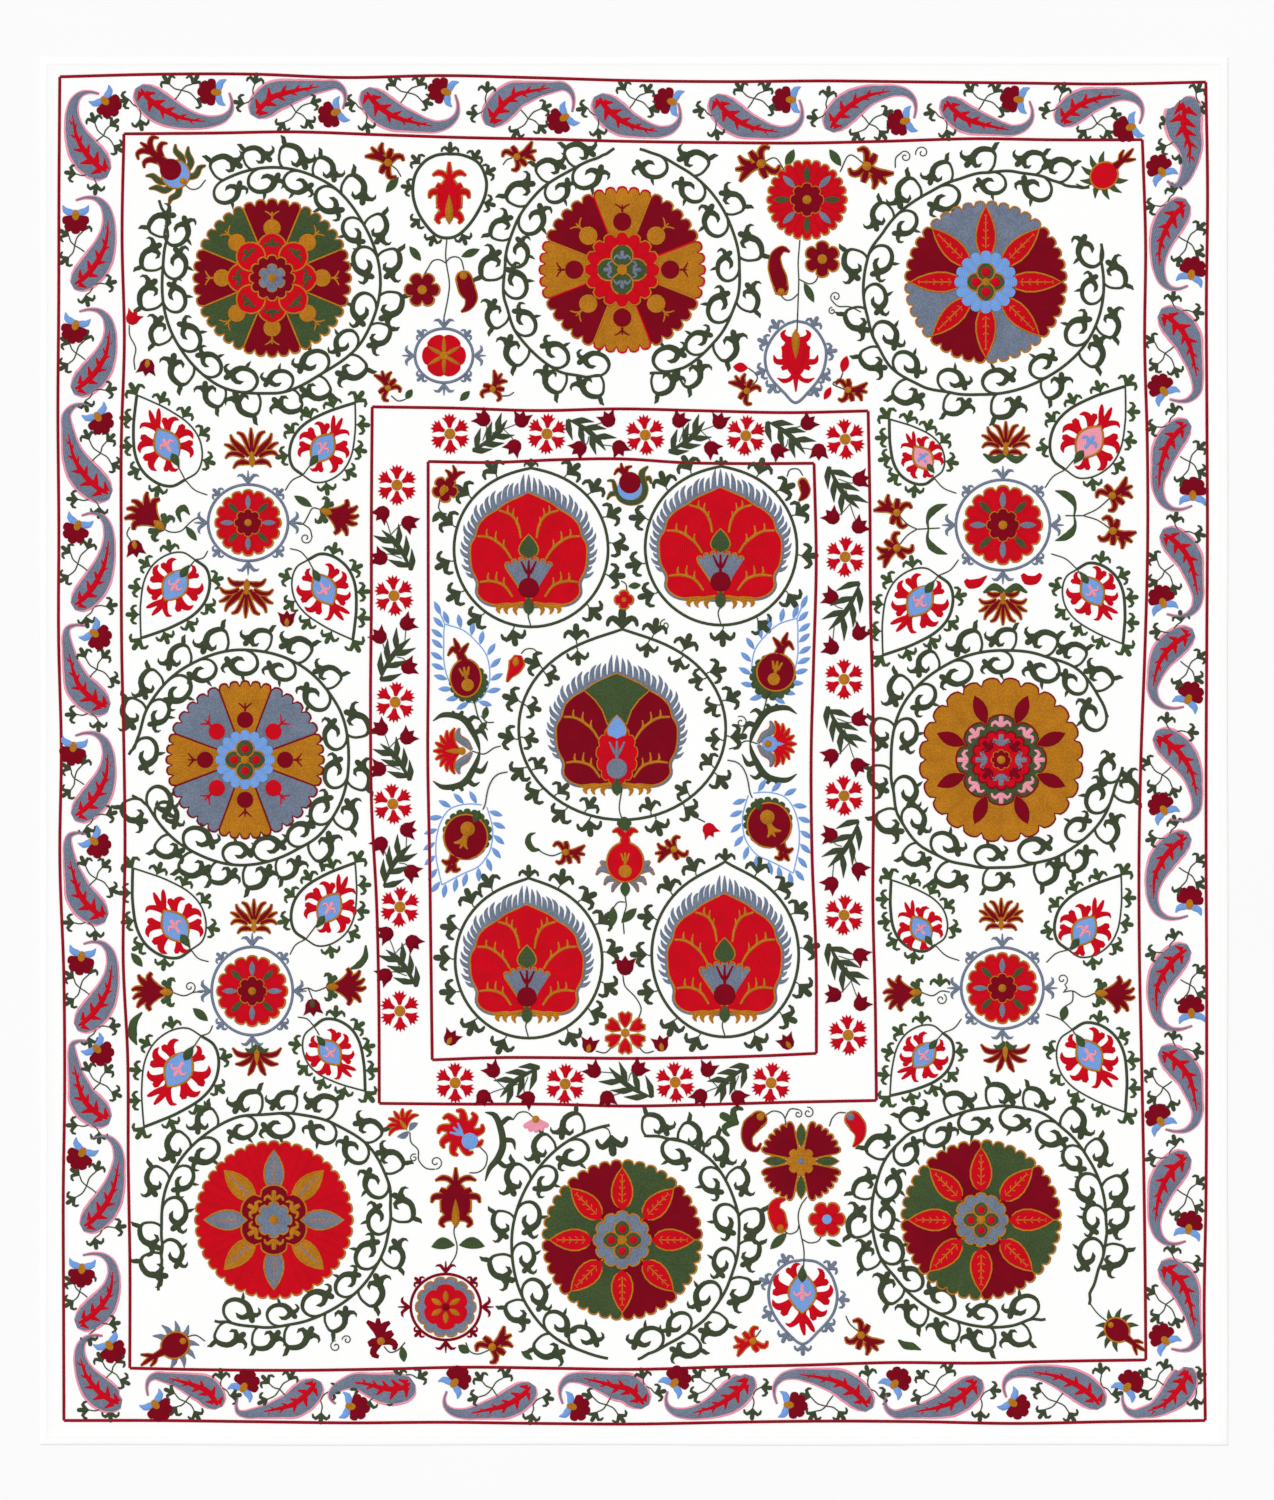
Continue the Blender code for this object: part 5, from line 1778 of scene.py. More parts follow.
# A cupped pomegranate's crown, then the leaves on one side of its cup. Columns: along, across, half width
CROWN_PRONGS = (
    ((10.2, 0, 11.9), (28.9, 0, 7.1), (49.3, 0, 5.1), (61.2, 0, 3.7), (73.1, 1.7, 0.7)),
    ((45.9, 0, 4.4), (59.5, 8.5, 4.4), (62.9, 18.7, 3.4), (54.4, 25.5, 0.7)),
    ((45.9, 0, 4.4), (59.5, -8.5, 4.4), (62.9, -18.7, 3.4), (54.4, -25.5, 0.7)),
    ((27.2, 3.4, 5.1), (40.8, 11.9, 4.4), (44.2, 22.1, 3.4), (37.4, 28.9, 0.7)),
    ((27.2, -3.4, 5.1), (40.8, -11.9, 4.4), (44.2, -22.1, 3.4), (37.4, -28.9, 0.7)),
)
CUP_LEAVES = (
    ((-11.9, 15.3, 4.4), (3.4, 27.2, 5.4), (18.7, 28.9, 4.1), (27.2, 37.4, 0.7)),
    ((-18.7, 15.3, 4.4), (-13.6, 32.3, 5.4), (0, 39.1, 4.4), (8.5, 49.3, 0.7)),
    ((-25.5, 8.5, 4.4), (-34, 22.1, 5.4), (-30.6, 35.7, 4.1), (-35.7, 45.9, 0.7)),
)


def cupped_fruit(work, x, y, angle):
    """A pomegranate with a long crown, in a light-blue cup, with long leaves on both sides."""
    place = Place(x, y, angle)
    for stroke in CUP_LEAVES:
        for side in (-1, 1):
            drawn(work, place, stroke, "green", side=side, width=1.2)
    work.fill(place.inside(-8.5), circle(23.8, 20), "sky", 2, edge="gold")
    for stroke in CROWN_PRONGS:
        drawn(work, place, stroke, "maroon", layer=2, width=1.3)
    work.fill(place.inside(3.4), circle(18.7, 18), "maroon", 5)
    work.fill(place.inside(-25.5), circle(6, 10), "gold", 5, small=True)


# The slim crown of the spiky pomegranates, and one spike, outwards from their middle.
# Columns: along, across, half width
SLIM_CROWN = (
    ((17, 0, 8.5), (30.6, 0, 5.1), (45.9, 0, 3.7), (57.8, 1.7, 3.1), (68, 3.4, 0.7)),
    ((39.1, 0, 3.1), (49.3, -6.8, 3.1), (59.5, -13.6, 0.7)),
    ((35.7, 0, 3.1), (44.2, 8.5, 3.1), (54.4, 11.9, 0.7)),
)
SPIKE = ((17, 0, 5.8), (28.9, 1.7, 4.8), (40.8, 8.5, 0.7))
SPIKE_COUNT = 8


def spiky_fruit(work, x, y, angle, size, body, leaves, heart=True):
    """A round pomegranate with a slim crown, ringed by short spiky leaves that bend towards its crown."""
    place = Place(x, y, angle, size)
    for i in range(SPIKE_COUNT):
        turn = 62 + 236 * i / (SPIKE_COUNT - 1)
        drawn(work, place.turned(turn), SPIKE, leaves, None, side=-1 if turn < 180 else 1)
    for stroke in SLIM_CROWN:
        drawn(work, place, stroke, "maroon", layer=2, width=1.3)
    work.fill(place, [(1.12 * u, v) for u, v in circle(22.1, 20)], body, 4, edge="gold")
    if heart:
        work.fill(place.inside(-15.3), circle(6, 10), "gold", 7, small=True)


def corners():
    """The corner pomegranates and the few small motifs along the sides of the field."""
    work = Work("corners_work")
    cupped_fruit(work, -785, 986, 137)
    stem(work, (-765, 964), (-753, 955), (-740, 957), (-728, 971))
    spiky_fruit(work, 799, 978, 40, 1.0, "red", "green", heart=False)
    stem(work, (782, 967), (767, 959), (751, 964))
    spiky_fruit(work, -780, -1010, -152, 1.0, "maroon", "grey")
    stem(work, (-760, -996), (-745, -993), (-729, -1003))
    spiky_fruit(work, 821, -984, -39, 0.9, "maroon", "green")
    stem(work, (804, -969), (792, -960), (782, -949), (774, -937))
    bud(work, Place(-852, 736, 60), 25.5, "red", None)
    bud(work, Place(-828, 653, -100), 28.9, "maroon", "gold")
    stem(work, (-858, 724), (-857, 706), (-847, 685), (-850, 665), (-848, 648))
    curled(work, -507, -1012, 10.2, 90, 1)
    curled(work, -488, -1001, 8.5, 180, -1)
    return work.made("maroon")


# The columns

def ringed_drop(work, outline, roots, thread, half, size):
    """A ring drawn through places on the cloth, with heads standing out from it where the roots are."""
    points = [Vector(p) for p in outline]
    middle = sum(points, Vector((0, 0))) / len(points)
    work.line(CLOTH, points + points[:1], half, thread)
    for root in roots:
        out = Vector(root) - middle
        trefoil(work, Place(*root, heading(out)), 0.84 * size, thread)


def column_north_left():
    """The upper left column: a drop ring with a red palmette, and a ringed red flower below it."""
    work = Work("column_north_left_work")
    ring = ((-320, 1015), (-292, 1013), (-265, 1000), (-252, 974), (-252, 949), (-262, 923), (-279, 896),
            (-299, 877), (-318, 872), (-337, 877), (-355, 896), (-369, 920), (-376, 949), (-372, 979),
            (-357, 1001), (-338, 1012))
    roots = ((-313, 1015), (-364, 998), (-274, 1005), (-253, 981), (-255, 932), (-376, 957),
             (-364, 904), (-340, 877), (-292, 879))
    ringed_drop(work, ring, roots, "vine", 2.7, 25.5)
    slim_palmette(work, Place(-314, 937, 90))
    stem(work, (-318, 872), (-320, 838), (-314, 797), (-316, 772), (-323, 736))
    stem(work, (-318, 828), (-330, 835), (-342, 833), (-350, 821), (-359, 806))
    stem(work, (-320, 830), (-313, 838), (-303, 840), (-294, 835), (-289, 818))
    petalled(work, -360, 784, 29.8, "maroon", "gold", start=0)
    pepper(work, ((-291, 814, 8.5), (-289, 802, 13.6), (-284, 785, 14.4), (-277, 770, 11),
                  (-282, 755, 6), (-294, 746, 0.8)), "maroon")
    blade(work, (-382, 858), (-362, 833), 6.8)
    blade(work, (-294, 840), (-262, 853), 6.8)
    ringed(work, Place(-323, 672), 49.3, 45.9, "grey", 90, 22.1)
    work.fill(Place(-323, 672), lobed(37.4, 6, 0.14, 8), "red", 0)
    for i in range(6):
        work.fill(Place(-323, 672, 60 * i + 30), leaf(0, 34, 3.7, 0.4), "gold", 2, small=True)
    work.fill(Place(-323, 672), circle(7.6, 10), "gold", 4)
    lily(work, -418, 1000, 140)
    stem(work, (-413, 996), (-403, 988), (-396, 976))
    blade(work, (-400, 976), (-422, 949), 7.3)
    lily(work, -199, 1010, 20, 0.9)
    stem(work, (-207, 1008), (-216, 1005), (-223, 996))
    lily(work, -418, 617, 112, 0.8)
    stem(work, (-413, 604), (-401, 595), (-388, 598))
    lily(work, -240, 615, 62, 0.8)
    stem(work, (-233, 604), (-214, 604), (-204, 610))
    blade(work, (-388, 598), (-377, 615), 6.1)
    blade(work, (-296, 595), (-279, 612), 6.1)
    return work.made("red", "medallion_n_left", "ring_n_left", "ring_drop_n_left")


def column_north_right():
    """The upper right column: a barred flower between lilies, and a drop ring with a palmette below it."""
    work = Work("column_north_right_work")
    barred_flower(work, Place(294, 937), 68, 24, ("green", "grey"))
    for root, bulb, angle, bend in (((257, 984), (216, 998), 195, (240, 1008)),
                                    ((350, 984), (396, 994), -40, (367, 1013))):
        stem(work, root, bend, bulb)
        lily(work, *bulb, angle, 1.15)
    blade(work, (258, 993), (272, 1023), 7.6)
    blade(work, (352, 994), (332, 1023), 7.6)
    stem(work, (282, 869), (279, 831), (280, 801), (279, 767), (277, 714))
    pepper(work, ((250, 775, 8.5), (250, 787, 11.9), (246, 804, 13.6), (240, 823, 11.9),
                  (241, 842, 8.5), (253, 853, 5.1), (265, 848, 0.8)), "maroon")
    stem(work, (250, 774), (257, 767), (267, 767), (279, 777))
    petalled(work, 320, 836, 30.6, "maroon", "gold", start=90)
    stem(work, (314, 811), (309, 799), (298, 794), (280, 802))
    blade(work, (289, 796), (306, 762), 6.8)
    ring = ((275, 731), (296, 726), (313, 711), (325, 688), (326, 665), (318, 638), (298, 612),
            (275, 592), (255, 609), (231, 636), (223, 661), (226, 685), (240, 709), (257, 724))
    roots = ((245, 717), (303, 721), (228, 692), (326, 678), (224, 648), (318, 641),
             (240, 624), (304, 619))
    ringed_drop(work, ring, roots, "grey", 2.4, 24.6)
    slim_palmette(work, Place(275, 675, -90), "red", None, 1.1)
    blade(work, (168, 653), (194, 651), 8.5, "red")
    stem(work, (194, 651), (207, 641), (209, 631), (197, 617))
    lily(work, 192, 612, 130, 0.85)
    blade(work, (362, 672), (354, 643), 7.6, "red")
    blade(work, (335, 619), (323, 597), 5.8, "red")
    stem(work, (355, 643), (350, 632), (338, 624), (359, 614))
    lily(work, 364, 614, -5, 0.85)
    stem(work, (444, 991), (445, 1008), (456, 1018))
    curled(work, 461, 1010, 10.2, 120, -1)
    curled(work, 490, 1017, 11.9, 200, -1)
    stem(work, (386, 746), (367, 755), (347, 756), (335, 767))
    curled(work, 343, 772, 9.3, 210, -1)
    curled(work, 337, 748, 6.8, 90, 1)
    return work.made("red", "medallion_n_right", "ring_drop_n_right")


# A flame that hooks at its tip. Columns: out, across, half width
HOOKED_FLAME = ((10.2, 0, 6.8), (23.8, 0, 6.5), (35.7, 5.1, 4.4), (35.7, 15.3, 0.8))


def column_south_left():
    """The lower left column: a flame bloom, a maroon palmette, and a ringed flower at the foot."""
    work = Work("column_south_left_work")
    carnation(work, Place(-388, -641, 125), 35.7, "red", "gold", "gold", None, 7, 66)
    for x, y in ((-367, -632), (-403, -656)):
        blade(work, (-382, -646), (x, y), 5.4, "grey", 3)
    stem(work, (-381, -648), (-379, -665), (-367, -678), (-366, -695), (-354, -709), (-338, -711))
    curled(work, -337, -699, 11.9, -90, 1)
    curled(work, -374, -692, 7.6, 60, 1)
    for i in range(9):
        drawn(work, Place(-294, -649, 40 * i), HOOKED_FLAME, "red")
    work.fill(Place(-294, -649), circle(23.8, 18), "red", 3)
    fruit(work, Place(-279, -663, 140), 14.4, "sky", 5, crown=2.8, spread=0.85, prong=3.0)
    stem(work, (-262, -673), (-250, -687), (-253, -706), (-265, -716), (-280, -717))
    crescent = ((-253, -614, 1), (-236, -620, 5.1), (-226, -644, 5.8), (-223, -670, 6.1),
                (-231, -692, 6.1), (-245, -709, 4.4), (-253, -731, 1))
    drawn(work, CLOTH, crescent, "vine", None)
    for start, bend, tip in (((-226, -634), (-214, -624), (-204, -627)),
                             ((-221, -661), (-206, -663), (-202, -678)),
                             ((-233, -695), (-219, -706), (-209, -700))):
        work.line(CLOTH, (start, bend, tip), (4.4, 4.1, 0.7), "vine")
    work.sector(Place(-167, -622, -88), 5.1, 27.2, 62, 5, 4.2, "pink", 0)
    work.fill(Place(-167, -626, -88), circle(6.5, 10), "gold", 2, small=True)
    stem(work, (-172, -622), (-182, -614), (-196, -615), (-206, -627))
    slim_palmette(work, Place(-303, -770, 90, 0.97), "maroon", "gold", 1.25)
    stem(work, (-304, -802), (-306, -819), (-301, -840), (-303, -857), (-313, -874))
    blade(work, (-304, -840), (-345, -843), 10.2, "green", -5)
    blade(work, (-298, -840), (-253, -842), 10.2, "green", 5)
    ringed(work, Place(-320, -945), 59.5, 56.1, "maroon", 90, 22.1)
    work.fill(Place(-320, -945), lobed(51, 14, 0.1, 5), "grey", 0, edge="gold")
    work.fill(Place(-320, -945), lobed(39.1, 6, 0.16, 8, 30), "red", 2)
    for i in range(6):
        work.fill(Place(-320, -945, 60 * i + 30), leaf(6.8, 28.9, 5.1, 0.5), "gold", 4, small=True)
    work.fill(Place(-320, -945), circle(6.8, 10), "maroon", 5, small=True)
    lily(work, -241, -1013, 35, 1.0)
    stem(work, (-246, -1018), (-265, -1025), (-279, -1020), (-286, -1005))
    blade(work, (-299, -1010), (-280, -1023), 7.6)
    lily(work, -430, -1003, 100, 1.0, "maroon", "maroon")
    stem(work, (-425, -1012), (-415, -1022), (-401, -1018), (-389, -1005))
    blade(work, (-394, -1012), (-391, -1039), 6.8)
    blade(work, (-192, -1020), (-172, -1035), 5.1)
    stem(work, (-58, -639), (-44, -643), (-39, -658))
    trefoil(work, Place(-39, -653, -84), 37.4, "vine")
    return work.made("maroon", "medallion_s_left", "ring_s_left")


def column_south_right():
    """The lower right column: a rosette of maroon fans, peppers, and a flame flower in a drop ring."""
    work = Work("column_south_right_work")
    place = Place(284, -697)
    for i in range(4):
        work.sector(place.turned(90 * i + 45), 17, 69.7, 33, 6, 7.6, "maroon", 0, "gold")
        work.fill(place.turned(90 * i), leaf(23.8, 64.6, 8.5, 0.5), "green", 1, edge="gold", edge_width=1.0)
    work.fill(place, lobed(25.5, 8, 0.22, 6), "gold", 3)
    work.fill(place, circle(6, 10), "grey", 5, small=True)
    pepper(work, ((218, -617, 8.5), (212, -626, 13.6), (199, -638, 14.4), (192, -656, 9.3),
                  (197, -672, 6), (209, -677, 3.4), (216, -666, 0.8)), "maroon")
    stem(work, (224, -619), (236, -612), (250, -615), (257, -626), (257, -643))
    stem(work, (257, -624), (265, -609), (279, -609))
    curled(work, 279, -617, 7.6, 90, -1)
    curled(work, 296, -615, 10.2, 100, -1)
    pepper(work, ((364, -617, 6.8), (372, -626, 13.6), (381, -639, 13.6), (384, -653, 8.5),
                  (379, -665, 4.4), (372, -673, 0.8)), "red", "grey")
    stem(work, (360, -615), (347, -615), (337, -624), (332, -638))
    stem(work, (294, -758), (284, -772), (279, -792), (284, -823), (289, -852), (287, -892))
    pepper(work, ((250, -816, 6.8), (248, -806, 12.8), (243, -790, 14.4), (238, -777, 10.2),
                  (245, -765, 5.8), (258, -762, 0.8)), "red")
    stem(work, (255, -816), (265, -821), (277, -816), (280, -806))
    petalled(work, 328, -796, 30.6, "red", "sky", 6, 60)
    stem(work, (320, -821), (313, -833), (298, -836), (286, -830))
    blade(work, (260, -819), (231, -847), 7.8)
    blade(work, (326, -831), (354, -842), 5.1)
    ring = ((287, -865), (311, -869), (332, -886), (343, -911), (345, -933), (337, -959),
            (314, -986), (287, -1008), (260, -988), (240, -962), (230, -937), (230, -911),
            (241, -887), (262, -870))
    roots = ((260, -872), (330, -882), (231, -904), (347, -932), (235, -954), (326, -972),
             (260, -988), (287, -1008))
    ringed_drop(work, ring, roots, "grey", 2.4, 24.6)
    flame_flower(work, Place(286, -921, -90, 1.12))
    lily(work, 202, -1003, 200, 0.9, "red")
    stem(work, (207, -996), (216, -984))
    lily(work, 386, -993, -40, 1.0)
    stem(work, (381, -986), (367, -974), (360, -960))
    leafy = ((449, -1001, 1.7), (461, -1010, 6.8), (473, -1012, 6.8), (488, -1018, 1))
    drawn(work, CLOTH, leafy, "green", None)
    trefoil(work, Place(178, -634, 152), 37.4, "green")
    return work.made("red", "medallion_s_right", "ring_drop_s_right")


# The panel's small motifs

# A wreathed pomegranate, upright from the middle of its body. The lines of its wreath, from their tip
WREATH_SIDES = (
    ((91.8, 35.7), (78.2, 37.4), (59.5, 37.4), (30.6, 37.4), (5.1, 32.3), (-17, 22.1),
     (-34, 5.1), (-42.5, -11.9)),
    ((91.8, 35.7), (81.6, 5.1), (62.9, -17), (37.4, -35.7), (1.7, -40.8), (-27.2, -32.3),
     (-44.2, -13.6)),
)
WREATH_TIP = ((91.8, 35.7), (107.1, 42.5), (122.4, 49.3))
LOW_WREATH_SIDES = (
    ((81.6, -40.8), (66.3, -44.2), (42.5, -49.3), (22.1, -51), (-1.7, -49.3), (-25.5, -42.5),
     (-44.2, -30.6), (-52.7, -15.3), (-56.1, 6.8), (-54.4, 27.2)),
    ((81.6, -40.8), (69.7, -18.7), (61.2, -1.7), (51, 20.4), (35.7, 34), (18.7, 42.5),
     (-8.5, 45.9), (-28.9, 42.5), (-51, 35.7)),
)
WREATH_LEAVES = 9
WREATH_LEAF = 26.3
# Its neck and crown. Columns: along, across, half width
WREATHED_CROWN = (
    ((13.6, 0, 15.3), (30.6, 5.1, 7.8), (45.9, 11.9, 5.8)),
    ((44.2, 11.9, 5.1), (49.3, 22.1, 4.4), (37.4, 30.6, 0.7)),
    ((44.2, 11.9, 5.1), (56.1, 15.3, 4.1), (68, 20.4, 0.7)),
    ((40.8, 8.5, 5.1), (51, 1.7, 3.7), (59.5, -5.1, 0.7)),
)


# The lower kind's neck and crown, and the gold fruit inside it. Columns: along, across, half width
LOW_CROWN = (
    ((20.4, -11.9, 13.6), (34, -18.7, 8.5), (44.2, -23.8, 5.8)),
    ((40.8, -22.1, 5.1), (44.2, -32.3, 4.1), (39.1, -40.8, 0.8)),
    ((44.2, -23.8, 5.1), (54.4, -28.9, 3.7), (61.2, -34, 0.8)),
    ((44.2, -22.1, 5.4), (56.1, -18.7, 4.4), (54.4, -8.5, 0.8)),
)
LOW_HEART = (
    ((-10.2, 3.4, 6.8), (1.7, -1.7, 4.8), (8.5, -10.2, 4.1), (10.2, -23.8, 0.8)),
    ((-1.7, 0, 4.8), (11.9, -5.1, 3.7), (22.1, -11.9, 0.8)),
    ((-1.7, 0, 4.8), (11.9, -1.7, 4.1), (23.8, 5.1, 0.8)),
)
LOW_STALK = ((-45.9, 28.9), (-56.1, 33.1), (-71.4, 35.7), (-85, 39.1), (-98.6, 45.9),
             (-107.1, 56.1), (-110.5, 71.4))


def low_wreathed_fruit(work, place):
    """A rounder pomegranate whose crown turns aside, with a leaf on its stalk, along the place."""
    wreath(work, place, LOW_WREATH_SIDES, (-1, 1))
    work.fill(place.inside(-6, 2.5), lobed(42.5, 18, 0.12, 5), "green", 0)
    for stroke in LOW_CROWN:
        drawn(work, place, stroke, "maroon", "gold", 2)
    work.fill(place, [(u * 38.2, v * 37.4) for u, v in circle(1.0, 26)], "maroon", 3, edge="gold")
    for stroke in LOW_HEART:
        drawn(work, place, stroke, "gold", None, 5)
    work.fill(place.inside(-13.6, 3.4), circle(12.8, 14), "gold", 6, small=True)
    work.fill(place.inside(-27.2, 15.3, 155), leaf(-3.4, 20.4, 6.8, 0.45), "green", 6, small=True)
    work.line(place, LOW_STALK, STEM_HALF, "vine", 4)


def wreath(work, place, sides, outwards):
    """The two lines of a wreath with their light-blue leaves. The signs say which way is out of it."""
    for side, spots in zip(outwards, sides):
        work.line(place, spots, 0.9, "sky")
        curve, _ = smoothed([Vector(p) for p in spots], [1] * len(spots), 4.0)
        for i in range(WREATH_LEAVES):
            root, down = along_spine(curve, 0.04 + 0.92 * i / (WREATH_LEAVES - 1))
            out = Vector((down.y, -down.x)) * side
            tip = (out - down * 0.75).normalized() * WREATH_LEAF
            local = place.inside(root.x, root.y, heading(tip))
            work.fill(local, leaf(1.7, WREATH_LEAF, 4.6, 0.5, 5), "sky", 0, small=True)


def wreathed_fruit(work, place, half_width):
    """A pomegranate with a gold one inside it, in a green cup within a wreath of light-blue leaves."""
    wreath(work, place, WREATH_SIDES, (1, -1))
    work.line(place, WREATH_TIP, 0.9, "sky")
    work.fill(place.inside(107.1, 42.5, 25), leaf(0, WREATH_LEAF, 4.6, 0.5, 5), "sky", 0, small=True)
    work.fill(place.inside(-8.5, -5.1), lobed(half_width + 7.6, 16, 0.12, 5), "green", 0)
    for stroke in WREATHED_CROWN:
        drawn(work, place, stroke, "maroon", layer=2, width=1.4)
    work.fill(place, [(u * 32.3, v * half_width) for u, v in circle(1.0, 22)], "maroon", 3, edge="gold")
    fruit(work, place.inside(-11.9, -3.4, 12), 11, "gold", 5, crown=3.2, spread=0.9, prong=3.2)
    stalk = ((-27.2, -10.2), (-44.2, -15.3), (-68, -22.1), (-88.4, -37.4))
    work.line(place, stalk, (5.8, STEM_HALF, STEM_HALF, STEM_HALF), "vine", 4)


# The leaves that hold a side carnation: one long one, its bumps and its side leaves, from the bulb
CRESCENT = ((45.9, -51, 0.8), (28.9, -61.2, 4.4), (5.1, -59.5, 5.4),
            (-10.2, -51, 6.1), (-22.1, -32.3, 5.4), (-30.6, -13.6, 3.7),
            (-34, 1.7, 1))
CRESCENT_PARTS = (
    ((13.6, -61.2, 4.4), (10.2, -68, 2.4)),
    ((0, -59.5, 4.8), (-5.1, -68, 2.5)),
    ((-13.6, -49.3, 4.8), (-23.8, -57.8, 3.7), (-34, -52.7, 0.7)),
    ((-23.8, -30.6, 4.4), (-37.4, -34, 4.8), (-47.6, -17, 0.7)),
)
CALYX = ((-20.4, -1.7, 1.7), (-10.2, -13.6, 6.1), (1.7, -22.1, 5.8), (3.4, -32.3, 3.1),
         (0, -39.1, 0.7))


def side_carnation(work, x, y, angle, heart):
    """A red carnation in a grey calyx between two long bent leaves."""
    place = Place(x, y, angle)
    carnation(work, place, 45.9, "red", "gold", heart, None, 9, 64)
    for side in (-1, 1):
        for stroke in (CRESCENT,) + CRESCENT_PARTS:
            drawn(work, place, stroke, "vine", None, side=side)
        drawn(work, place, CALYX, "grey", layer=4, side=side, width=1.2)
    if heart == "sky":
        work.fill(place, circle(13.6, 14), "sky", 6)
    work.fill(place.inside(-3.4), circle(6.8, 10), "gold", 8, small=True)
    work.line(place, ((-20.4, 0), (-40.8, 5.1), (-57.8, -5.1), (-69.7, -8.5)), STEM_HALF, "vine")


# The red pomegranate's leaves on one side, and its crown. Columns: along, across, half width
WINGED_LEAVES = (
    ((-13.6, 23.8, 3.4), (-3.4, 35.7, 5.4), (1.7, 42.5, 1.4)),
    ((-17, 23.8, 3.4), (-11.9, 40.8, 4.4), (-22.1, 49.3, 0.8)),
    ((-28.9, 15.3, 3.4), (-28.9, 28.9, 4.8), (-39.1, 35.7, 0.8)),
    ((-32.3, 10.2, 3.4), (-40.8, 18.7, 3.7), (-51, 22.1, 0.8)),
)
WINGED_CROWN = (
    ((23.8, 0, 10.2), (42.5, 0, 6.8), (52.7, 0, 3.4)),
    ((44.2, 1.7, 5.1), (54.4, 11.9, 4.8), (51, 22.1, 0.7)),
    ((44.2, -1.7, 5.1), (54.4, -11.9, 4.8), (51, -22.1, 0.7)),
)


def winged_fruit(work):
    """The red pomegranate below the middle palmette, with a gold one inside and winged leaves."""
    place = Place(-15, -189, 90)
    for side in (-1, 1):
        for stroke in WINGED_LEAVES:
            drawn(work, place, stroke, "grey", side=side, width=1.2)
    for stroke in WINGED_CROWN:
        drawn(work, place, stroke, "red", layer=2, width=1.4)
    work.fill(place, [(u * 34, v * 31.4) for u, v in circle(1.0, 26)], "red", 3, edge="gold")
    fruit(work, place.inside(-15.3), 11.6, "gold", 5, crown=3.0, spread=0.7, prong=2.6)
    work.fill(place.inside(-44.2), leaf(-15.3, 13.6, 8.5, 0.5), "green", 4)
    work.fill(place.inside(64.6, 1.7), lobed(12.8, 5, 0.2, 5), "green", 3)
    work.line(place, ((-57.8, 0), (-74.8, -1.7), (-95.2, 3.4), (-122.4, 1.7)), STEM_HALF, "vine")
    work.line(place, ((-68, 0), (-68, 11.9), (-78.2, 20.4)), STEM_HALF, "vine")
    blade(work, (-36, -264), (-36, -298), 7.8)
    blade(work, (-22, -292), (5, -267), 7.8)


# The pomegranate in a cup above the middle palmette: its leaves and its crown. Columns: x, y, half width
CUPPED_LEAVES = (
    ((-46, 459, 0.8), (-36, 459, 2.7), (-31, 444, 4.1), (-22, 428, 4.4),
     (-5, 422, 4.4), (12, 428, 4.8), (19, 444, 5.1), (14, 462, 5.8),
     (14, 474, 5.1), (24, 484, 1)),
    ((-29, 437, 3.4), (-39, 437, 4.1), (-46, 427, 0.8)),
    ((17, 461, 3.4), (26, 464, 4.1), (29, 454, 0.8)),
)
CUPPED_CROWN = (
    ((-14, 468, 5.8), (-20, 479, 3.7), (-22, 490, 0.8)),
    ((-15, 471, 4.1), (-12, 481, 3.4), (-3, 484, 0.8)),
    ((-17, 473, 4.1), (-27, 478, 3.4), (-34, 469, 0.8)),
)


# A petal with a cleft in its outer edge, outwards from the middle of its flower
CLEFT_PETAL = ((8.5, 0), (20.4, -9.3), (32.3, -11), (35.7, -5.1), (31.4, 0), (35.7, 5.1),
               (32.3, 11), (20.4, 9.3))


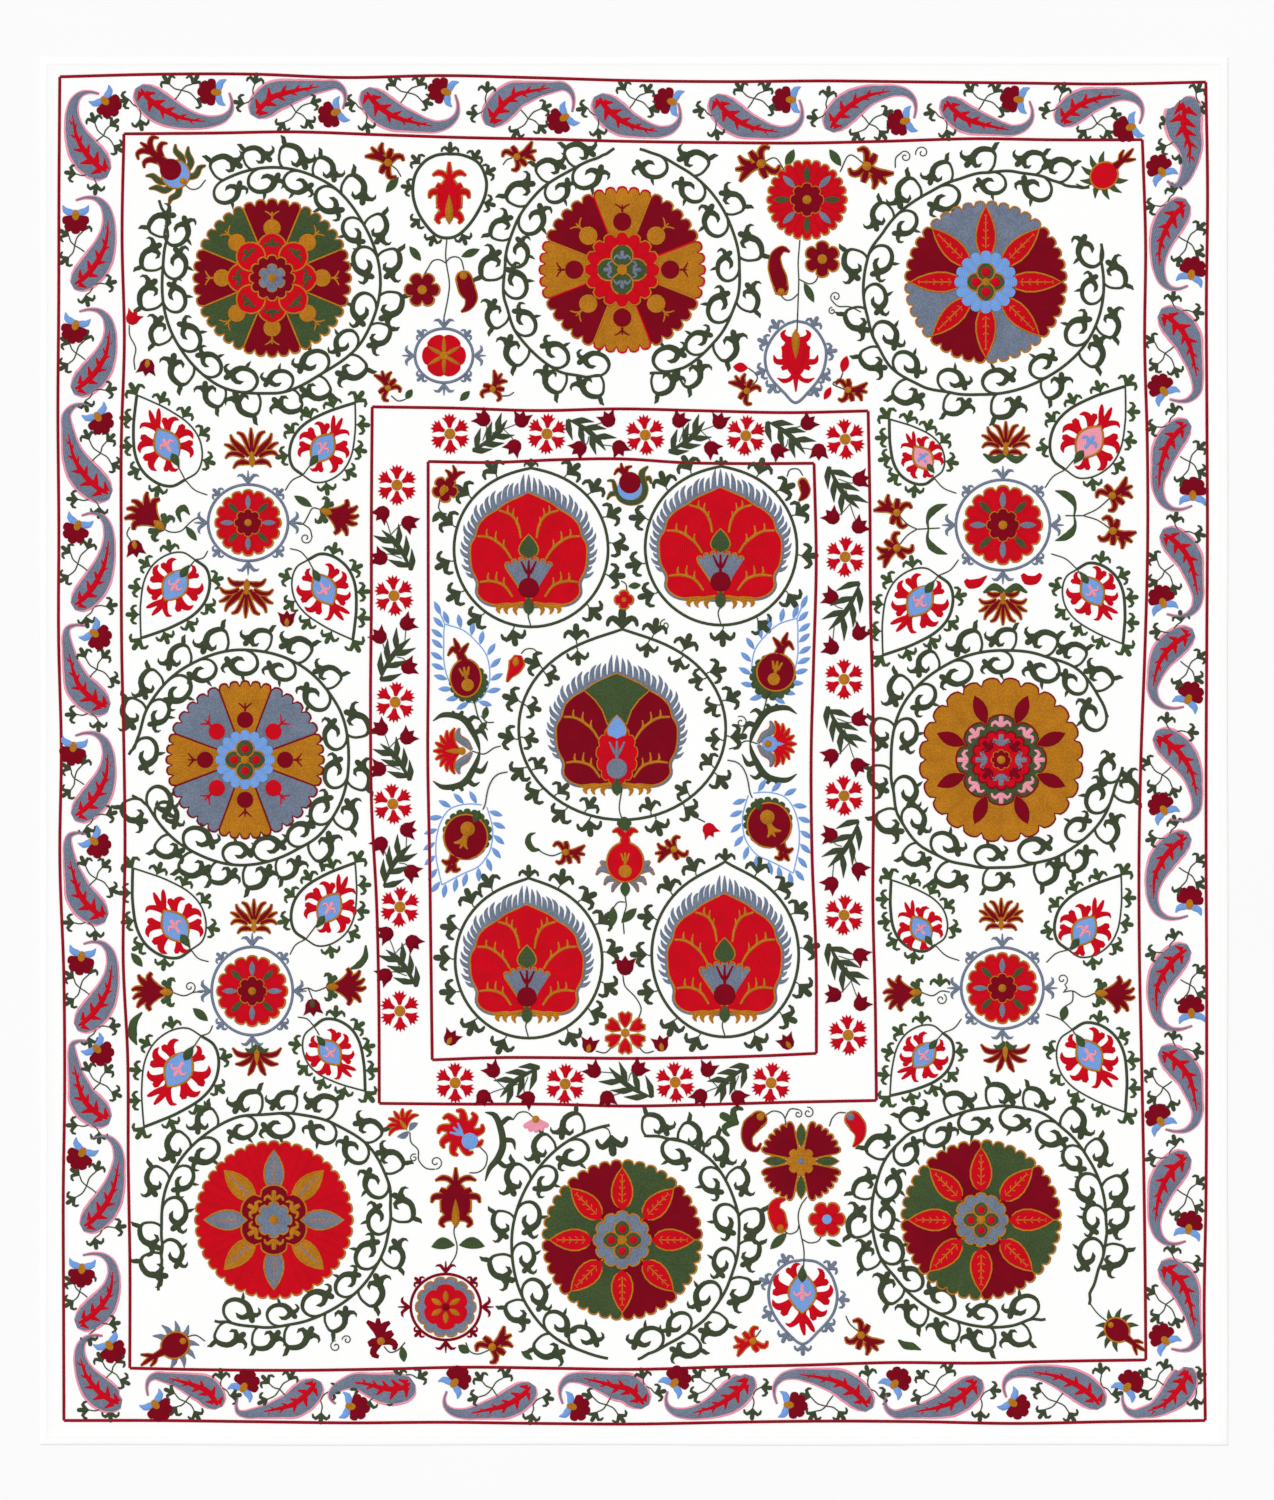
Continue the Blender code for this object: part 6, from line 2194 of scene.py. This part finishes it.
def panel():
    """The small motifs of the panel, between its palmettes."""
    work = Work("panel_work")
    wreathed_fruit(work, Place(-286, 124, 90), 26.3)
    wreathed_fruit(work, Place(241, 134, 90, 1.0, -1), 32.3)
    low_wreathed_fruit(work, Place(-286, -146, -90))
    low_wreathed_fruit(work, Place(230, -126, -90, 1.0, -1))
    side_carnation(work, -296, 0, 180, "gold")
    side_carnation(work, 231, 12, 0, "sky")
    winged_fruit(work)
    lily(work, -116, -172, -5, 0.85)
    lily(work, 68, -167, 195, 0.85)
    stem(work, (-122, -172), (-139, -178), (-155, -173), (-165, -165))
    curled_leaf = ((-160, -168, 1.4), (-172, -167, 5.1), (-180, -155, 5.8), (-177, -143, 3.4),
                   (-167, -139, 0.7))
    drawn(work, CLOTH, curled_leaf, "green", None)
    stem(work, (-238, 49), (-250, 49), (-260, 60))
    blade(work, (-250, 49), (-265, 34), 5.8)
    blade(work, (-255, 54), (-250, 76), 5.8)
    petalled(work, -321, 445, 22.1, "maroon", "gold", 5, -90)
    work.fill(Place(-325, 442, 75), leaf(-10.2, 11.9, 6.1, 0.5), "gold", 4, small=True)
    for bend, tip in (((-304, 474), (-308, 486)), ((-299, 471), (-287, 474)), ((-313, 471), (-321, 478))):
        edged_line(work, CLOTH, ((-311, 459), bend, tip), (4.4, 3.7, 0.7), "maroon", "gold", 0, 1.2)
    stem(work, (-330, 427), (-332, 413), (-326, 405), (-318, 403))
    blade(work, (-328, 408), (-343, 389), 5.8)
    for stroke in CUPPED_LEAVES:
        drawn(work, CLOTH, stroke, "green", "gold", 0, width=1.0)
    work.fill(Place(-7, 447), circle(21.2, 20), "sky", 3)
    work.fill(Place(-7, 456), circle(18.7, 18), "maroon", 5)
    for stroke in CUPPED_CROWN:
        drawn(work, CLOTH, stroke, "maroon", "gold", 3, width=1.0)
    pepper(work, ((286, 462, 5.1), (287, 456, 7.6), (291, 444, 8.5), (289, 434, 5.8),
                  (280, 425, 0.8)), "maroon", None)
    stem(work, (287, 468), (279, 479), (265, 478), (260, 466))
    petalled(work, -17, 257, 16.1, "red", "gold", 4, 90)
    stem(work, (-12, 272), (-14, 284), (-22, 289))
    blade(work, (-10, 280), (12, 282), 5.8)
    drop = ((-197, 163, 5.1), (-199, 150, 13.6), (-204, 138, 10.2), (-211, 128, 4.4), (-216, 117, 0.8))
    drawn(work, CLOTH, drop, "red", width=1.6)
    work.fill(Place(-201, 151, 80), leaf(-8.5, 10.2, 5.8, 0.5), "gold", 4, small=True)
    stem(work, (-192, 165), (-184, 173), (-170, 173), (-162, 163))
    bud(work, Place(-15, -366, 90), 32.3, "maroon", None)
    stem(work, (-19, -381), (-15, -400), (2, -418), (12, -437), (8, -454))
    for i in range(6):
        work.fill(Place(-15, -479, 60 * i + 30), CLEFT_PETAL, "red", 0, edge="gold", small=True)
    work.fill(Place(-15, -479), circle(7.6, 10), "gold", 2)
    for x, y, angle in ((-76, -500, 80), (46, -498, 100), (-311, -488, 60), (260, -495, 120)):
        bud(work, Place(x, y, angle), 27.2, "maroon", "gold")
    stem(work, (-65, -510), (-49, -513), (-37, -502))
    stem(work, (34, -510), (19, -513), (7, -502))
    bud(work, Place(128, -134, -60), 25.5, "red", None)
    stem(work, (121, -121), (107, -114))
    curled(work, 182, 49, 11, 120, -1)
    curled(work, 53, 214, 10.2, 90, 1)
    return work.made("maroon")


# The flowers beside each side group's ring

# A trumpet in its own length: its lips and its sepals on one side, and its middle prongs.
# Columns: along, across, half width
TRUMPET_LIPS = (
    ((0.18, 0.0, 0.07), (0.48, 0.15, 0.10), (0.62, 0.36, 0.07), (0.55, 0.50, 0.03)),
    ((0.18, 0.0, 0.08), (0.58, 0.12, 0.12), (0.82, 0.30, 0.06), (0.90, 0.44, 0.015)),
)
TRUMPET_MIDDLE = (
    ((0.30, 0.0, 0.10), (0.70, 0.06, 0.09), (0.92, 0.12, 0.05), (1.02, 0.22, 0.015)),
    ((0.30, 0.0, 0.10), (0.72, -0.05, 0.08), (0.95, -0.07, 0.05), (1.06, -0.01, 0.015)),
)
TRUMPET_SEPALS = (
    ((0.0, 0.0, 0.04), (0.12, 0.16, 0.07), (0.23, 0.25, 0.08), (0.27, 0.28, 0.05)),
    ((0.08, 0.16, 0.06), (0.08, 0.31, 0.07), (-0.02, 0.34, 0.05), (-0.08, 0.27, 0.01)),
)


def trumpet(work, root, mouth):
    """A long bell from its gold neck to its ragged mouth, with two green lobes at the neck."""
    place, size = facing(root, mouth)
    for stroke in TRUMPET_LIPS:
        for side in (-1, 1):
            drawn(work, place, stroke, "maroon", "gold", 0, size, side)
    for stroke in TRUMPET_MIDDLE:
        drawn(work, place, stroke, "maroon", "gold", 0, size)
    work.fill(place, leaf(-0.04 * size, 0.34 * size, 0.10 * size, 0.5), "gold", 4, small=True)
    for stroke in TRUMPET_SEPALS:
        for side in (-1, 1):
            drawn(work, place, stroke, "green", None, 3, size, side)


def paired_lilies(work, foot, fork, bulbs, angles, leaf_side):
    """Two lilies on a forked stem with two curling leaves."""
    stem(work, foot, fork)
    for bulb, angle, side in zip(bulbs, angles, (1, -1)):
        stem(work, fork, ((fork[0] + bulb[0]) / 2, (fork[1] + bulb[1]) / 2 - side * 5), bulb)
        lily(work, *bulb, angle, 0.98)
        x, y = (foot[0] + fork[0]) / 2, fork[1]
        points = ((x, y), (x - leaf_side * 1.7, y + side * 15.3), (x + leaf_side * 5.1, y + side * 28.9),
                  (x + leaf_side * 17, y + side * 37.4), (x + leaf_side * 32.3, y + side * 42.5))
        work.line(CLOTH, points, (1.4, 2.7, 6.8, 5.8, 0.8), "green")


def group_w_upper():
    """The upper group on the left: fan flowers, trumpets and buds beside its ring."""
    work = side_group("w_upper", (-656, 388, 68, 65), 56)
    fan_flower(work, Place(-649, 484, 92), 64.6)
    fan_flower(work, Place(-658, 291, -92), 64.6)
    trumpet(work, (-799, 377), (-852, 422))
    stem(work, (-799, 377), (-787, 372), (-770, 374), (-755, 388), (-743, 396), (-733, 394))
    work.line(CLOTH, ((-770, 389), (-775, 406), (-765, 413), (-755, 401)), (1.7, 5, 6.5, 0.8), "green")
    blade(work, (-762, 382), (-743, 357), 6.1)
    bud(work, Place(-848, 345, -80), 28.9)
    stem(work, (-855, 357), (-862, 369), (-857, 381))
    trumpet(work, (-532, 410), (-473, 389))
    stem(work, (-532, 410), (-546, 413), (-554, 400), (-563, 386), (-578, 388))
    blade(work, (-547, 415), (-578, 434), 6.8)
    stem(work, (-563, 386), (-551, 377), (-547, 362))
    curled(work, -558, 362, 10.2, 0, -1)
    bud(work, Place(-590, 224, 90), 27.2)
    return work.made("red", "medallion_w_upper", "ring_w_upper")


def group_w_lower():
    """The lower group on the left: a fan flower, a carnation and trumpets beside its ring."""
    work = side_group("w_lower", (-649, -408, 69, 75), 60)
    fan_flower(work, Place(-646, -308, 90), 56.1)
    carnation(work, Place(-641, -508, -90), 47.6, cup="green")
    trumpet(work, (-785, -410), (-850, -408))
    stem(work, (-785, -410), (-765, -416), (-748, -410), (-733, -410))
    trumpet(work, (-522, -401), (-459, -400))
    stem(work, (-522, -401), (-541, -408), (-554, -403), (-568, -406))
    stem(work, (-554, -403), (-549, -415), (-546, -423))
    bud(work, Place(-546, -435, -85), 28.9, "maroon", "green")
    curled(work, -755, -401, 10.2, -60, 1)
    blade(work, (-750, -437), (-724, -459), 7.6)
    work.line(CLOTH, ((-836, -444), (-850, -461), (-852, -483), (-845, -500)), (1.5, 7, 8, 1), "green")
    blade(work, (-855, -343), (-835, -367), 6.8)
    work.line(CLOTH, ((-456, -330), (-457, -350), (-468, -364), (-484, -371)), (1.5, 5.5, 6, 1), "green")
    return work.made("red", "medallion_w_lower", "ring_w_lower")


def group_e_upper():
    """The upper group on the right: fan flowers in cups, and lilies in pairs beside its ring."""
    work = side_group("e_upper", (627, 384, 80, 77), 67)
    fan_flower(work, Place(632, 502, 90), 57.8)
    fan_flower(work, Place(627, 272, -90), 57.8)
    for root_y, tip_y in ((505, 495), (269, 279)):
        for side in (-1, 1):
            cup = ((631, root_y, 4.1), (631 + side * 18.7, tip_y, 6.8),
                   (631 + side * 37.4, root_y, 1.7))
            drawn(work, CLOTH, cup, "green", None, 6)
    paired_lilies(work, (520, 379), (481, 377), ((447, 405), (447, 345)), (150, 212), 1)
    paired_lilies(work, (733, 400), (763, 400), ((813, 434), (814, 374)), (28, -28), -1)
    for pod in (((563, 291, 3.4), (571, 284, 8.5), (585, 286, 7.6), (600, 298, 1)),
                ((660, 301, 3.4), (668, 291, 8.5), (682, 291, 7.6), (692, 301, 3.4))):
        drawn(work, CLOTH, pod, "red", None)
    return work.made("red", "medallion_e_upper", "ring_e_upper")


def group_e_lower():
    """The lower group on the right: a fan flower, a carnation and trumpets beside its ring."""
    work = side_group("e_lower", (626, -403, 70, 69), 60)
    fan_flower(work, Place(624, -303, 90), 52.7)
    carnation(work, Place(631, -502, -90), 47.6, cup="green")
    trumpet(work, (488, -410), (427, -413))
    stem(work, (488, -410), (507, -416), (522, -408), (537, -410))
    trumpet(work, (785, -411), (848, -416))
    stem(work, (785, -411), (765, -418), (746, -408), (729, -410))
    curled(work, 522, -422, 10.2, 60, -1)
    trefoil(work, Place(520, -401, 90), 23.8, "green")
    curled(work, 728, -388, 10.2, -70, 1)
    stem(work, (731, -408), (736, -403), (733, -398))
    stem(work, (746, -408), (745, -425), (733, -434))
    blade(work, (734, -432), (728, -459), 7.6)
    return work.made("red", "medallion_e_lower", "ring_e_lower")


# Making it all

ground = ground_sheet()
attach(ground, "root")
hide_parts("ground_cloth")

for line in FRAME_LINES:
    frame_line(*line)
rosette_nw()
rosette_n()
rosette_ne()
rosette_w()
rosette_e()
rosette_sw()
leafy_rosette("s", -20, -831, 136, 49.3)
leafy_rosette("se", 590, -797, 136, 45.9)
vine("nw", ("nw",))
vine("n", ("n_left", "n_right"))
vine("ne", ("ne",))
vine("w", ("w",))
vine("e", ("e",))
vine("sw", ("sw",))
vine("s", ("s_left", "s_right"))
vine("se", ("se",))
border()
group_w_upper()
group_w_lower()
group_e_upper()
group_e_lower()
band()
palmette("nw", -179, 343, 99, 97, RED_PALMETTE, (-175, 343, 131, 132, 6, 17))
palmette("ne", 147, 353, 104, 96, RED_PALMETTE, (148, 346, 129, 132, 6, 17))
palmette("centre", -29, 36, 103, 97, MAROON_PALMETTE, (-20, 38, 176, 155, 14, 37.4))
palmette("sw", -182, -354, 96, 94, RED_PALMETTE, (-179, -357, 125, 131, 10, 23.8))
palmette("se", 154, -344, 97, 103, RED_PALMETTE, (155, -346, 125, 140, 18, 23.8))
panel()
column_north_left()
column_north_right()
column_south_left()
column_south_right()
corners()

# The floor, the light and the camera

FLOOR_SIZE = 9.0
FLOOR_DROP = 0.0002
CAMERA_HEIGHT = 12.0
CAMERA_PLACE = (0.0051, 0.0017)
CAMERA_REACH = 60.0
VIEW_HEIGHT = 2.55
SENSOR = 24.0


def floor():
    """The studio floor just under the cloth."""
    half = FLOOR_SIZE / 2
    mesh = bpy.data.meshes.new("floor")
    corners = [(x * half, y * half, -FLOOR_DROP) for x, y in ((-1, -1), (1, -1), (1, 1), (-1, 1))]
    mesh.from_pydata(corners, [], [(0, 1, 2, 3)])
    mesh.materials.append(floor_material())
    made = bpy.data.objects.new("floor", mesh)
    bpy.context.scene.collection.objects.link(made)
    return made


studio_floor = floor()

world = bpy.data.worlds.new("studio")
world.use_nodes = True
world.node_tree.nodes["Background"].inputs["Color"].default_value = (1.0, 1.0, 1.0, 1)
world.node_tree.nodes["Background"].inputs["Strength"].default_value = WORLD_LIGHT
bpy.context.scene.world = world

sun = bpy.data.lights.new("window", "SUN")
sun.energy = SUN_LIGHT
sun.angle = math.radians(SUN_WIDTH)
sun_object = bpy.data.objects.new("window", sun)
sun_object.rotation_euler = (math.radians(SUN_TILT), 0, math.radians(SUN_TURN))
bpy.context.scene.collection.objects.link(sun_object)

camera = bpy.data.cameras.new("camera")
camera.sensor_fit = "VERTICAL"
camera.sensor_height = SENSOR
camera.lens = SENSOR * CAMERA_HEIGHT / VIEW_HEIGHT
camera.clip_end = CAMERA_REACH
camera_object = bpy.data.objects.new("camera", camera)
camera_object.location = (*CAMERA_PLACE, CAMERA_HEIGHT)
bpy.context.scene.collection.objects.link(camera_object)
bpy.context.scene.camera = camera_object
bpy.context.scene.view_settings.view_transform = "Standard"
